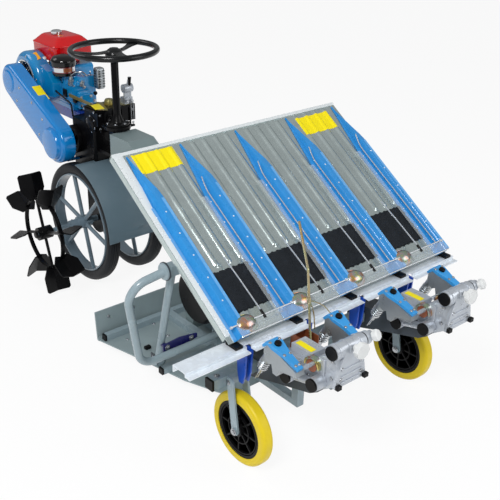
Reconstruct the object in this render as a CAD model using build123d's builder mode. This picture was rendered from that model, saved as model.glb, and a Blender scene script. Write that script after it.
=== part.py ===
from build123d import *
import math
import os

# Four-row riding rice transplanter.
# +X is forward, +Y is left, +Z is up.  z = 0 is the ground, y = 0 the middle
# of the four rows and x = 0 the middle of the machine's length.  Millimetres.

# ---------------------------------------------------------------- clearances
SEAT_GAP = 0.3        # a piece at rest on the piece that carries it
PIN_GAP = 0.1         # radial gap of a shaft in its bore
SLIDE_GAP = 0.5       # tray feet over their rail
RUN_GAP = 6.0         # a turning piece beside a fixed one

# ---------------------------------------------------------------- rows
ROW_PITCH = 300.0
ROW_COUNT = 4
ROWS = [ROW_PITCH * (i - (ROW_COUNT - 1) / 2) for i in range(ROW_COUNT)]
CASE_ROWS = [-ROW_PITCH, ROW_PITCH]          # one drive case between each pair of rows
FOOT_X = -1016.0                              # foot of the seedling tray
FOOT_Z = 533.0

# ---------------------------------------------------------------- drive wheels
AXLE_X = 678.0
TYRE_R = 326.0
AXLE_Z = TYRE_R
RIM_R = 270.0
TYRE_W = 68.0
TYRE_CROWN = 16.0
RIM_W = 62.0
RIM_WALL = 7.0
WHEEL_Y = 140.0                              # each road wheel from the middle
SPOKE_COUNT = 6
SPOKE_PHASE = 14.0
SPOKE_R = 11.0
HUB_R = 34.0
HUB_LENGTH = 76.0
AXLE_R = 17.0
AXLE_END_R = 12.0                            # thinner end that carries the lugged wheel
STUB_R = 25.0
STUB_LENGTH = 48.0
PADDY_Y = 378.0                              # lugged wheel, outboard on the left
PADDY_RING_R = 196.0
PADDY_RING_T = 7.0
PADDY_RING_W = 22.0
PADDY_SPOKE_R = 8.0
LUG_COUNT = 8
LUG_ROOT_R = 178.0
LUG_TIP_R = 318.0
LUG_T = 6.0
LUG_CORNER = 28.0
LUG_REACH = 72.0                             # each wing, sideways from the ring
LUG_SWEEP = 20.0                             # degrees each wing is bent back
LUG_PHASE = 27.0

# ---------------------------------------------------------------- power head
PIVOT_X = 514.0                              # steering pivot and column
KINGPIN_R = 25.0
FLANGE_R = 68.0
ARM_T = 18.0
ARM_HALF = 52.0
COLUMN_R = 19.0
WHEEL_Z = 1262.0                             # steering wheel rim, middle
STEER_R = 212.0
STEER_TUBE_R = 15.0
STEER_SPOKES = (60, 180, 300)
STEER_SPOKE_T = 11.0
HUB_DROP = 60.0
CASING_W = 150.0
CASING_BACK = 624.0
CASING_FRONT = 854.0
CASING_TOP = 862.0
CASING_BOTTOM = 520.0
CASING_ROUND = 16.0
CASING_FOOT_R = 84.0
CASING_FOOT_W = 116.0
HOUSING_X = (590.0, 720.0)                   # valve housing on top of the casing
HOUSING_Y = (-160.0, 70.0)
HOUSING_TOP = 948.0
FENDER_R = 344.0
FENDER_T = 3.0
FENDER_W = 380.0
FENDER_START = 96.0                          # degrees from straight ahead, over the top
FENDER_END = 180.0
LEVER_X = 606.0                              # gear lever, on the housing
LEVER_Y = -126.0

# ---------------------------------------------------------------- engine
CRANK_X = 1286.0
ENGINE_BACK = 914.0                          # close behind the steering head
ENGINE_FRONT = CRANK_X + 63.0
ENGINE_RIGHT = -215.0
ENGINE_LEFT = 24.0
ENGINE_NARROW = -120.0                       # right side of the crankcase's rear part
ENGINE_STEP = CRANK_X - 196.0                # where the crankcase grows wider
REAR_TOP = 1040.0
ENGINE_BASE = 868.0
BLOCK_TOP = 1062.0
BASE_H = 54.0
HEAD_DEPTH = 62.0
CRANK_Z = 985.0
COWL_R = 150.0
COWL_DEPTH = 88.0
SCREEN_R = 104.0
SCREEN_T = 5.0
SCREEN_SLOTS = 20
TANK_LENGTH = 238.0
TANK_WIDTH = 279.0
TANK_HEIGHT = 131.0
TANK_X = CRANK_X - 61.5
TANK_Y = -101.0
TANK_GAP = 25.0
CAP_R = 31.0
CAP_H = 22.0
CLEANER_R = 68.0
CLEANER_H = 117.0
CLEANER_X = CRANK_X - COWL_R - CLEANER_R - 56.0
CLEANER_Y = 15.0
SILENCER_SIZE = (60.0, 55.0, 120.0)
SILENCER_Y = -127.5
SILENCER_Z = 970.0

# ---------------------------------------------------------------- belt drive
GUARD_FACE = 215.0                           # outer face of the belt guard
GUARD_DEPTH = 80.0
GUARD_UP_R = 92.0
GUARD_LOW_R = 108.0
PULLEY_X = 820.0
PULLEY_Z = 745.0
BOSS_T = 20.0
GUARD_ROUND = 12.0
BELT_SHAFT_R = 16.0
CLUTCH_R = 76.0
CLUTCH_W = 26.0

# ---------------------------------------------------------------- main beam
BEAM_W = 155.0
BEAM_H = 116.0
BEAM_TOP = 858.0
BEAM_FRONT = 466.0
BEAM_KNEE = 302.0
BEAM_UNDER_KNEE = 332.0
BEAM_END_X = -216.0
BEAM_END_Z = 432.0                           # underside over the rear leg
BEAM_LEG_W = 60.0
HEAD_R = 47.0                                # steering head at the beam's nose

# ---------------------------------------------------------------- float board
FLOAT_Z = 46.0
FLOAT_T = 6.0
FLOAT_BOW_X = -14.0                          # rear face of the upright bow plate
FLOAT_BOW_TOP = 190.0
FLOAT_LEAN = 12.0
FLOAT_SIDE = [(-12.0, 490.0), (-215.0, 438.0), (-533.0, 366.0), (-690.0, 305.0), (-740.0, 270.0)]  # (x, half width)

# ---------------------------------------------------------------- frame tubes
TUBE = 44.0                                  # square tube, outer size
UPPER_TUBE_X = -576.0
UPPER_TUBE_Z = 640.0
UPPER_TUBE_HALF = 470.0
GUIDE_R = 12.0                               # bar under the tray that slides on two posts
GUIDE_DROP = 30.0
REAR_TUBE_X = -962.0
REAR_TUBE_Z = 352.0
REAR_TUBE_HALF = 560.0
FLOAT_TUBE = 30.0
FLOAT_TUBES = [(-40.0, 462.0), (-431.0, 412.0)]      # (x, half length)
CAP_T = 10.0
LOOP_R = 17.5
LOOP_BEND = 92.0
LOOP_CLAMP_R = 32.0
LOOP_CLAMP_T = 16.0
LOOP_OUT = (-551.0, 655.0, 602.0)            # outer bends of the side loop
LOOP_LOW_Y = 545.0
LOOP_LOW_Z = 165.0
LOOP_END_Y = 110.0
LINK_Z = 185.0
LINK_X = -445.0                                 # rear face of the plate behind each strut
LINK_T = 8.0
LINK_END_Y = 228.0
STRUT_R = 17.0
STRUT_FOOT = (-346.0, 376.0, 56.0)
STRUT_TOP_Y = 450.0
SIDE_TUBE_Y = 100.0                          # fore-and-aft tubes of the rear frame
SIDE_TUBE = 36.0
GUIDE_X = UPPER_TUBE_X - TUBE / 2 - SEAT_GAP - SIDE_TUBE / 2      # posts behind the upper tube

# ---------------------------------------------------------------- rear wheels
REAR_WHEEL_X = -1036.0
REAR_WHEEL_Y = 463.0
REAR_R = 152.0
REAR_CORE_R = 118.0
REAR_W = 52.0
REAR_PIN_R = 9.0
FORK_GAP = 6.0
FORK_T = 8.0
FORK_W = 36.0

# ---------------------------------------------------------------- seedling tray
TRAY_SLOPE = 34.3
TRAY_LENGTH = 905.0
TRAY_T = 3.0
TRAY_SIDE = 24.0                             # outer margin past the end dividers
TRAY_REST_Y = -105.0                         # parked near the right end of its travel
RIB_COUNT = 4
RIB_W = 15.0
RIB_PITCH = 56.0
RIB_H = 6.0
RIB_START = 292.0
RIB_END = 850.0
TRAY_LIP = 26.0
DIVIDER_W = 44.0
DIVIDER_H = 30.0
DIVIDER_FLAT = 640.0
DIVIDER_FOOT = 0.0
DIVIDER_FOLD = 5.0
DIVIDER_RIDGE = 14.0
BELT_W = 176.0
BELT_START = 96.0
BELT_LENGTH = 190.0
BELT_T = 7.0
BELT_TEETH = 12
ROD_R = 3.0
ROD_TOP = 700.0
ROD_LIFT = 34.0
WIRE_U = 44.0
WIRE_LIFT = 36.0
PLATE_U = 4.0
PLATE_R = 42.0
PLATE_T = 2.5
PLATE_LENGTH = 34.0
BLOCK_OUT = 30.0
BLOCK_IN = 30.0
BLOCK_W = 34.0

# ---------------------------------------------------------------- rail
RAIL_HALF = 740.0
RAIL_Z = 517.0
RAIL_SEAT = 487.0                            # foot of the rail's front flange
RAIL_AHEAD = 42.0
RAIL_TOP_W = 74.0
RAIL_T = 4.0
RAIL_DROP = 12.0
RAIL_LIP = 26.0
GATE_W = 22.0
GATE_DEPTH = 14.0
LEG_DROP = 150.0

# ---------------------------------------------------------------- planting units
ARM_T_Y = 40.0
COVER_T = 14.0
BOSS_R = 26.0
NEEDLE_LENGTH = 64.0
ARM_PIVOT = (-1308.0, 545.0)                 # rear end of a planting arm's top face (x, z)
ARM_NOSE = (-1172.0, 592.0)
CRANK_A = (-1186.0, 437.0)
CRANK_B = (-1316.0, 470.0)
CASE_W = 96.0
CRANK_IN = 55.0                              # capped end of each crank boss, inward from its arm
CASE_IN = (ROW_PITCH - CASE_W) / 2 - SEAT_GAP                      # case wall, inward from its arm
PIN_A = (-1208.0, 494.0)
PIN_B = (-1292.0, 536.0)
PUSH_TOP = (-1165.0, 556.0)                  # axis of the push rod that clears the needles
PUSH_END = (-1124.0, 472.0)
KNOBS = [(-10.0, -8.0)]                      # (y from the case, drop from the boss)
CASE_TOP = 600.0
CASE_BOTTOM = 440.0
CASE_BACK = -1392.0
CASE_FRONT = -1108.0
GUARD_DISC = (-1282.0, 520.0)
GUARD_DISC_R = 36.0
CLUTCH_BOX_W = 70.0
CLUTCH_Y = ROW_PITCH - (CASE_W + CLUTCH_BOX_W) / 2 - SEAT_GAP        # bracket beside the left case
CLUTCH_BOX_X = (-1136.0, -1056.0)
CLUTCH_BOX_Z = (425.0, 500.7)
LEVER_R = 5.0
LEVER_BEND = (-1080.0, 204.0, 763.0)
LEVER_TOP = (-924.0, 105.0, 871.0)

DRIVE_CASE_X = -416.0
DRIVE_CASE_Z = 360.0
DRIVE_CASE_R = 128.0
DRIVE_CASE_W = 440.0

SEAT_X = -96.0
SEAT_Z = 775.0
SEAT_R = 195.0
SEAT_T = 42.0

os.makedirs("parts", exist_ok=True)


def box_to(x_range, y_range, z_range, mode=Mode.ADD):
    """Adds a box given by its two faces on each axis."""
    spans = (x_range, y_range, z_range)
    centre = tuple((low + high) / 2 for low, high in spans)
    size = tuple(abs(high - low) for low, high in spans)
    with Locations(centre):
        Box(*size, mode=mode)


def cylinder_y(x, z, radius, y_range, mode=Mode.ADD):
    """Adds a cylinder whose axis is parallel to Y."""
    with Locations(Location((x, sum(y_range) / 2, z), (90, 0, 0))):
        Cylinder(radius, abs(y_range[1] - y_range[0]), mode=mode)


def cylinder_z(x, y, radius, z_range, mode=Mode.ADD):
    """Adds an upright cylinder."""
    with Locations((x, y, sum(z_range) / 2)):
        Cylinder(radius, abs(z_range[1] - z_range[0]), mode=mode)


def rod_between(start, end, radius, mode=Mode.ADD):
    """Adds a round rod from one point to another."""
    axis = Vector(*end) - Vector(*start)
    with Locations(Plane(origin=start, z_dir=axis).location):
        Cylinder(radius, axis.length, align=(Align.CENTER, Align.CENTER, Align.MIN), mode=mode)


def side_plane(y, x=0.0, z=0.0):
    """Plane facing the machine's left side: its x is forward and its y is up."""
    return Plane(origin=(x, y, z), x_dir=(1, 0, 0), z_dir=(0, -1, 0))


def tray_plane(y=0.0, lift=0.0):
    """Plane at the tray's foot: x runs up the slope, y is left and z stands off its face."""
    slope = math.radians(TRAY_SLOPE)
    up = Vector(math.cos(slope), 0, math.sin(slope))
    out = Vector(-math.sin(slope), 0, math.cos(slope))
    return Plane(origin=Vector(FOOT_X, y, FOOT_Z) + out * lift, x_dir=up, z_dir=out)


def under_tray(x):
    """Height of the tray's underside over a station x."""
    slope = math.radians(TRAY_SLOPE)
    return FOOT_Z + (x - FOOT_X) * math.tan(slope) - TRAY_T / math.cos(slope)


# ================================================================ drive wheels
def make_wheel_rims():
    with BuildPart() as wheel_rims:
        for side in (-1, 1):
            y_mid = side * WHEEL_Y
            cylinder_y(AXLE_X, AXLE_Z, RIM_R - SEAT_GAP, (y_mid - RIM_W / 2, y_mid + RIM_W / 2))
            cylinder_y(AXLE_X, AXLE_Z, RIM_R - RIM_WALL, (y_mid - RIM_W, y_mid + RIM_W), mode=Mode.SUBTRACT)
        for side in (-1, 1):
            y_mid = side * WHEEL_Y
            cylinder_y(AXLE_X, AXLE_Z, HUB_R, (y_mid - HUB_LENGTH / 2, y_mid + HUB_LENGTH / 2))
            reach = RIM_R - RIM_WALL / 2
            for i in range(SPOKE_COUNT):
                angle = math.radians(360 * i / SPOKE_COUNT + SPOKE_PHASE)
                tip = (AXLE_X + reach * math.cos(angle), y_mid, AXLE_Z + reach * math.sin(angle))
                rod_between((AXLE_X, y_mid, AXLE_Z), tip, SPOKE_R)
        # one axle through both wheels, with a collar outside the left one
        collar = WHEEL_Y + HUB_LENGTH / 2 + STUB_LENGTH
        cylinder_y(AXLE_X, AXLE_Z, AXLE_R, (-WHEEL_Y - HUB_LENGTH, collar))
        cylinder_y(AXLE_X, AXLE_Z, STUB_R, (WHEEL_Y, collar))
        cylinder_y(AXLE_X, AXLE_Z, AXLE_END_R, (collar - 1, PADDY_Y + HUB_LENGTH * 0.6))
    wheel_rims.part.label = "wheel_rims"
    export_step(wheel_rims.part, "parts/wheel_rims.step")


def make_wheel_tyres():
    with BuildPart() as wheel_tyres:
        for side in (-1, 1):
            with BuildSketch(Plane(origin=(AXLE_X, side * WHEEL_Y, AXLE_Z))) as section:
                with Locations(((RIM_R + TYRE_R) / 2, 0)):
                    Rectangle(TYRE_R - RIM_R, TYRE_W)
                fillet(section.vertices().group_by(Axis.X)[-1], TYRE_CROWN)
            revolve(axis=Axis((AXLE_X, 0, AXLE_Z), (0, 1, 0)))
    wheel_tyres.part.label = "wheel_tyres"
    export_step(wheel_tyres.part, "parts/wheel_tyres.step")


def wing_plane(angle, side):
    """Plane of one wing of a lug: x runs outward from the axle and y runs along the wing."""
    turn = math.radians(angle)
    bend = math.radians(LUG_SWEEP)
    out = Vector(math.cos(turn), 0, math.sin(turn))
    ahead = Vector(-math.sin(turn), 0, math.cos(turn))
    wing = Vector(0, side, 0) * math.cos(bend) - ahead * math.sin(bend)
    return Plane(origin=(AXLE_X, PADDY_Y, AXLE_Z), x_dir=out, z_dir=out.cross(wing))


def make_paddy_wheel():
    with BuildPart() as paddy_wheel:
        band = (PADDY_Y - PADDY_RING_W / 2, PADDY_Y + PADDY_RING_W / 2)
        cylinder_y(AXLE_X, AXLE_Z, PADDY_RING_R + PADDY_RING_T / 2, band)
        cylinder_y(AXLE_X, AXLE_Z, PADDY_RING_R - PADDY_RING_T / 2, band, mode=Mode.SUBTRACT)
        cylinder_y(AXLE_X, AXLE_Z, HUB_R, (PADDY_Y - HUB_LENGTH / 2, PADDY_Y + HUB_LENGTH / 2))
        for i in range(LUG_COUNT):
            angle = 360 * i / LUG_COUNT + LUG_PHASE
            if i % 2 == 1:
                turn = math.radians(angle)
                tip = Vector(AXLE_X, PADDY_Y, AXLE_Z) + Vector(math.cos(turn), 0, math.sin(turn)) * PADDY_RING_R
                rod_between((AXLE_X, PADDY_Y, AXLE_Z), tip, PADDY_SPOKE_R)
            # each lug is two wings bent back from the ring in a shallow V
            for side in (-1, 1):
                with BuildSketch(wing_plane(angle, side)):
                    Polygon(
                        (LUG_ROOT_R, 0),
                        (LUG_TIP_R, 0),
                        (LUG_TIP_R, LUG_REACH - LUG_CORNER / 3),
                        (LUG_TIP_R - LUG_CORNER / 3, LUG_REACH),
                        (LUG_ROOT_R + 2 * LUG_CORNER, LUG_REACH),
                        (LUG_ROOT_R, LUG_REACH / 2),
                        align=None,
                    )
                extrude(amount=LUG_T / 2, both=True)
        cylinder_y(AXLE_X, AXLE_Z, AXLE_END_R + SEAT_GAP, (PADDY_Y - HUB_LENGTH, PADDY_Y + HUB_LENGTH),
                   mode=Mode.SUBTRACT)
    paddy_wheel.part.label = "paddy_wheel"
    export_step(paddy_wheel.part, "parts/paddy_wheel.step")


# ================================================================ power head
def make_gearbox():
    half = CASING_W / 2
    foot = CASING_FOOT_W / 2
    upper = BEAM_TOP + RUN_GAP
    lower = BEAM_TOP - BEAM_H - RUN_GAP
    with BuildPart() as gearbox:
        box_to((CASING_BACK, CASING_FRONT), (-half, half), (CASING_BOTTOM, CASING_TOP))
        fillet(gearbox.edges().filter_by(Axis.Z), CASING_ROUND)
        # the leg narrows to pass between the road wheels, down to the axle
        box_to((AXLE_X - CASING_FOOT_R, AXLE_X + CASING_FOOT_R), (-foot, foot), (AXLE_Z, CASING_BOTTOM + 10))
        cylinder_y(AXLE_X, AXLE_Z, CASING_FOOT_R, (-foot, foot))
        # side covers of the gears inside
        cylinder_y(PULLEY_X - 66, PULLEY_Z - 60, 62, (-half - 14, 0))
        cylinder_y(AXLE_X, AXLE_Z + 150, 58, (-foot - 6, foot + 6))
        # forked arms that hold the kingpin, over and under the beam's nose
        for z_range in ((upper, upper + ARM_T), (lower - ARM_T, lower)):
            box_to((PIVOT_X, CASING_BACK + CASING_ROUND), (-ARM_HALF, ARM_HALF), z_range)
            cylinder_z(PIVOT_X, 0, ARM_HALF, z_range)
        cylinder_z(PIVOT_X, 0, FLANGE_R, (upper, upper + ARM_T))
        cylinder_z(PIVOT_X, 0, KINGPIN_R, (lower - ARM_T, upper + ARM_T))
        box_to(HOUSING_X, HOUSING_Y, (CASING_TOP + 2, HOUSING_TOP))
        box_to((CASING_BACK, HOUSING_X[1]), (-half, half), (CASING_TOP - 10, CASING_TOP + 10))
        # shaft end that carries the clutch pulley
        cylinder_y(PULLEY_X, PULLEY_Z, BELT_SHAFT_R, (half, GUARD_FACE - GUARD_DEPTH - SEAT_GAP))
        cylinder_y(AXLE_X, AXLE_Z, AXLE_R + PIN_GAP, (-CASING_FOOT_W, CASING_FOOT_W), mode=Mode.SUBTRACT)
    gearbox.part.label = "gearbox"
    export_step(gearbox.part, "parts/gearbox.step")


def make_steering_column():
    base = BEAM_TOP + RUN_GAP + ARM_T + SEAT_GAP
    with BuildPart() as steering_column:
        with BuildSketch(side_plane(0, PIVOT_X)):
            with BuildLine():
                Polyline(
                    (0, base),
                    (62, base),
                    (62, base + 12),
                    (34, base + 16),
                    (COLUMN_R + 4, base + 44),
                    (COLUMN_R, base + 60),
                    (COLUMN_R, WHEEL_Z - HUB_DROP),
                    (0, WHEEL_Z - HUB_DROP),
                    close=True,
                )
            make_face()
        revolve(axis=Axis((PIVOT_X, 0, 0), (0, 0, 1)))
    steering_column.part.label = "steering_column"
    export_step(steering_column.part, "parts/steering_column.step")


def make_steering_wheel():
    turn = Axis((PIVOT_X, 0, 0), (0, 0, 1))
    with BuildPart() as steering_wheel:
        with BuildSketch(side_plane(0, PIVOT_X, WHEEL_Z)):
            with Locations((STEER_R, 0)):
                Circle(STEER_TUBE_R)
        revolve(axis=turn)
        with BuildSketch(side_plane(0, PIVOT_X, WHEEL_Z)):
            with BuildLine():
                Polyline(
                    (0, SEAT_GAP - HUB_DROP),
                    (28, SEAT_GAP - HUB_DROP),
                    (44, -26),
                    (38, -4),
                    (22, 8),
                    (0, 10),
                    close=True,
                )
            make_face()
        revolve(axis=turn)
        for angle in STEER_SPOKES:
            with BuildSketch(Plane(origin=(PIVOT_X, 0, WHEEL_Z - 16)).rotated((0, 0, angle))):
                with BuildLine():
                    Polyline(
                        (20, -24),
                        (STEER_R * 0.5, -16),
                        (STEER_R, -18),
                        (STEER_R, 18),
                        (STEER_R * 0.5, 16),
                        (20, 24),
                        close=True,
                    )
                make_face()
            extrude(amount=STEER_SPOKE_T)
    steering_wheel.part.label = "steering_wheel"
    export_step(steering_wheel.part, "parts/steering_wheel.step")


def make_fender():
    sweep_angle = FENDER_END - FENDER_START
    with BuildPart() as fender:
        with BuildSketch(side_plane(0, AXLE_X, AXLE_Z)):
            with BuildLine():
                outer = CenterArc((0, 0), FENDER_R + FENDER_T, FENDER_START, sweep_angle)
                inner = CenterArc((0, 0), FENDER_R, FENDER_START, sweep_angle)
                Line(outer @ 0, inner @ 0)
                Line(outer @ 1, inner @ 1)
            make_face()
        extrude(amount=FENDER_W / 2, both=True)
        # cut clear of the gearbox
        box_to((CASING_BACK - 2, AXLE_X), (-CASING_W / 2 - 2, CASING_W / 2 + 2), (AXLE_Z, 2 * AXLE_Z + TYRE_R),
               mode=Mode.SUBTRACT)
        # bracket back to the gearbox leg, between the wheels
        box_to((AXLE_X - FENDER_R - 1, AXLE_X - CASING_FOOT_R - SEAT_GAP), (-16, 16),
               (AXLE_Z + 20, AXLE_Z + 56))
    fender.part.label = "fender"
    export_step(fender.part, "parts/fender.step")


def make_lever_bracket():
    floor = HOUSING_TOP + SEAT_GAP
    with BuildPart() as lever_bracket:
        box_to((LEVER_X - 12, LEVER_X + 32), (LEVER_Y - 24, LEVER_Y + 24), (floor, floor + 36))
        box_to((LEVER_X - 4, LEVER_X + 4), (LEVER_Y - 22, LEVER_Y + 22), (floor + 36, floor + 84))
        cylinder_y(LEVER_X, floor + 84, 22, (LEVER_Y - 26, LEVER_Y + 26))
        rod_between((LEVER_X, LEVER_Y, floor + 84), (LEVER_X - 12, LEVER_Y - 8, floor + 142), 7)
    lever_bracket.part.label = "lever_bracket"
    export_step(lever_bracket.part, "parts/lever_bracket.step")


# ================================================================ engine
def make_engine_base():
    top = ENGINE_BASE - SEAT_GAP
    back = CASING_FRONT + SEAT_GAP
    with BuildPart() as engine_base:
        box_to((back, ENGINE_FRONT), (ENGINE_NARROW, ENGINE_LEFT), (top - BASE_H, top))
        chamfer(engine_base.edges().filter_by(Axis.Z), 10)
        box_to((back, back + 30), (ENGINE_NARROW + 30, ENGINE_LEFT), (top - 2 * BASE_H, top))
    engine_base.part.label = "engine_base"
    export_step(engine_base.part, "parts/engine_base.step")


def make_engine_block():
    step_back = ENGINE_FRONT - HEAD_DEPTH
    with BuildPart() as engine_block:
        box_to((ENGINE_STEP, step_back), (ENGINE_RIGHT, ENGINE_LEFT), (ENGINE_BASE, BLOCK_TOP))
        fillet(engine_block.edges().filter_by(Axis.Y), 20)
        box_to((ENGINE_BACK, ENGINE_STEP + 30), (ENGINE_NARROW, ENGINE_LEFT), (ENGINE_BASE, REAR_TOP - 44))
        # crankcase crown, rocker box and valve cover
        with Locations(Location(((ENGINE_BACK + ENGINE_STEP) / 2 + 10, -48, REAR_TOP - 56), (0, 90, 0))):
            Cylinder(56, ENGINE_STEP - ENGINE_BACK + 20)
        cylinder_z(CLEANER_X, CLEANER_Y - 40, 46, (ENGINE_BASE + 20, REAR_TOP))
        box_to((ENGINE_BACK - 46, ENGINE_BACK + 10), (-70, 10), (ENGINE_BASE + 16, ENGINE_BASE + 88))
        box_to((step_back, ENGINE_FRONT), (ENGINE_RIGHT + 50, ENGINE_LEFT - 40), (ENGINE_BASE + 30, BLOCK_TOP - 40))
        # face that the silencer is bolted to
        box_to((ENGINE_BACK, ENGINE_BACK + 40), (ENGINE_NARROW, ENGINE_NARROW + 60), (ENGINE_BASE, REAR_TOP))
        shaft_end = GUARD_FACE - GUARD_DEPTH - SEAT_GAP
        cylinder_y(CRANK_X, CRANK_Z, BELT_SHAFT_R, (ENGINE_LEFT - 30, shaft_end))
    engine_block.part.label = "engine_block"
    export_step(engine_block.part, "parts/engine_block.step")


def make_fan_cowl():
    near = ENGINE_LEFT + SEAT_GAP
    face = near + COWL_DEPTH
    with BuildPart() as fan_cowl:
        cylinder_y(CRANK_X, CRANK_Z, COWL_R, (near, face))
        fillet(fan_cowl.edges().group_by(Axis.Y)[-1], 34)
        # duct that leads the cooling air back over the crankcase
        with BuildSketch(side_plane(near)):
            with BuildLine():
                Polyline(
                    (CRANK_X, CRANK_Z + COWL_R - 30),
                    (CRANK_X - 120, CRANK_Z + 92),
                    (CLEANER_X + CLEANER_R + 8, CRANK_Z + 70),
                    (CLEANER_X + 20, CRANK_Z + 16),
                    (CLEANER_X + 20, CRANK_Z - 60),
                    (CRANK_X - 90, CRANK_Z - 90),
                    (CRANK_X, CRANK_Z - 60),
                    close=True,
                )
            make_face()
        extrude(amount=-0.6 * COWL_DEPTH)
        cylinder_y(CRANK_X, CRANK_Z, SCREEN_R + SEAT_GAP, (face - SCREEN_T, face + 1), mode=Mode.SUBTRACT)
        cylinder_y(CRANK_X, CRANK_Z, BELT_SHAFT_R + SEAT_GAP, (near, face), mode=Mode.SUBTRACT)
    fan_cowl.part.label = "fan_cowl"
    export_step(fan_cowl.part, "parts/fan_cowl.step")


def make_fan_screen():
    face = ENGINE_LEFT + SEAT_GAP + COWL_DEPTH
    ring_r = (SCREEN_R + BELT_SHAFT_R) / 2 + 6
    with BuildPart() as fan_screen:
        cylinder_y(CRANK_X, CRANK_Z, SCREEN_R, (face - SCREEN_T + SEAT_GAP, face))
        with Locations(Location((CRANK_X, face, CRANK_Z), (90, 0, 0))):
            with PolarLocations(ring_r, SCREEN_SLOTS):
                Box(SCREEN_R * 0.5, 6, 4 * SCREEN_T, mode=Mode.SUBTRACT)
        cylinder_y(CRANK_X, CRANK_Z, BELT_SHAFT_R + SEAT_GAP, (face - COWL_DEPTH, face + 1), mode=Mode.SUBTRACT)
    fan_screen.part.label = "fan_screen"
    export_step(fan_screen.part, "parts/fan_screen.step")


def make_fuel_tank():
    floor = BLOCK_TOP + TANK_GAP
    waist = floor + TANK_HEIGHT * 0.67
    roof = floor + TANK_HEIGHT
    with BuildPart() as fuel_tank:
        box_to((TANK_X - TANK_WIDTH / 2, TANK_X + TANK_WIDTH / 2),
               (TANK_Y - TANK_LENGTH / 2, TANK_Y + TANK_LENGTH / 2), (floor, waist))
        fillet(fuel_tank.edges().filter_by(Axis.Z), 14)
        with BuildSketch(Plane.XY.offset(waist)):
            with Locations((TANK_X, TANK_Y)):
                Rectangle(TANK_WIDTH, TANK_LENGTH)
        with BuildSketch(Plane.XY.offset(roof)):
            with Locations((TANK_X, TANK_Y)):
                Rectangle(TANK_WIDTH - 80, TANK_LENGTH - 90)
        loft(ruled=True)
        for side in (-1, 1):
            y = TANK_Y + side * 60
            box_to((TANK_X - 60, TANK_X + 40), (y - 12, y + 12), (BLOCK_TOP + SEAT_GAP, floor))
        cylinder_z(TANK_X + 10, TANK_Y + 26, CAP_R, (roof, roof + CAP_H))
    fuel_tank.part.label = "fuel_tank"
    export_step(fuel_tank.part, "parts/fuel_tank.step")


def make_air_cleaner():
    foot = REAR_TOP + SEAT_GAP
    with BuildPart() as air_cleaner:
        with BuildSketch(side_plane(CLEANER_Y, CLEANER_X)):
            with BuildLine():
                Polyline(
                    (0, foot),
                    (CLEANER_R - 14, foot),
                    (CLEANER_R - 4, foot + 10),
                    (CLEANER_R - 4, foot + CLEANER_H * 0.5),
                    (CLEANER_R, foot + CLEANER_H * 0.55),
                    (CLEANER_R, foot + CLEANER_H * 0.76),
                    (CLEANER_R - 20, foot + CLEANER_H * 0.94),
                    (16, foot + CLEANER_H),
                    (0, foot + CLEANER_H),
                    close=True,
                )
            make_face()
        revolve(axis=Axis((CLEANER_X, CLEANER_Y, 0), (0, 0, 1)))
    air_cleaner.part.label = "air_cleaner"
    export_step(air_cleaner.part, "parts/air_cleaner.step")


def make_muffler():
    x_size, y_size, z_size = SILENCER_SIZE
    with BuildPart() as muffler:
        box_to((ENGINE_BACK - SEAT_GAP - x_size, ENGINE_BACK - SEAT_GAP),
               (SILENCER_Y - y_size / 2, SILENCER_Y + y_size / 2), (SILENCER_Z, SILENCER_Z + z_size))
        fillet(muffler.edges().filter_by(Axis.Z), 16)
    muffler.part.label = "muffler"
    export_step(muffler.part, "parts/muffler.step")


# ================================================================ belt drive
def loop_lean():
    """Lean of the belt's centre line, and half the wrap lost to the two radii."""
    reach = Vector(PULLEY_X - CRANK_X, PULLEY_Z - CRANK_Z)
    lean = math.degrees(math.atan2(reach.Y, reach.X))
    return lean, reach.length


def make_belt_guard():
    lean, reach = loop_lean()
    spread = math.degrees(math.acos((GUARD_UP_R - GUARD_LOW_R) / reach))
    inner = GUARD_FACE - GUARD_DEPTH
    with BuildPart() as belt_guard:
        with BuildSketch(side_plane(GUARD_FACE)):
            with BuildLine():
                first = CenterArc((CRANK_X, CRANK_Z), GUARD_UP_R, lean + spread, 360 - 2 * spread)
                second = CenterArc((PULLEY_X, PULLEY_Z), GUARD_LOW_R, lean - spread, 2 * spread)
                Line(first @ 1, second @ 0)
                Line(second @ 1, first @ 0)
            make_face()
        extrude(amount=GUARD_DEPTH)
        fillet(belt_guard.faces().sort_by(Axis.Y)[-1].edges(), GUARD_ROUND)
        for x, z, radius in ((CRANK_X, CRANK_Z, GUARD_UP_R - 26), (PULLEY_X, PULLEY_Z, GUARD_LOW_R - 18)):
            with BuildSketch(Plane(origin=(x, GUARD_FACE, z), x_dir=(1, 0, 0), z_dir=(0, 1, 0))):
                Circle(radius)
            extrude(amount=BOSS_T, taper=10)
        # stays back to the fan cowl and the gearbox
        cowl_face = ENGINE_LEFT + COWL_DEPTH + 2 * SEAT_GAP
        low = CRANK_Z - GUARD_UP_R
        box_to((CRANK_X - 2, CRANK_X + 22), (cowl_face, inner + 20), (low - 30, low + 4))
        low = PULLEY_Z - GUARD_LOW_R
        box_to((PULLEY_X - 30, PULLEY_X - 6), (CASING_W / 2 + SEAT_GAP, inner + 20), (low, low + 12))
    belt_guard.part.label = "belt_guard"
    export_step(belt_guard.part, "parts/belt_guard.step")


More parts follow.
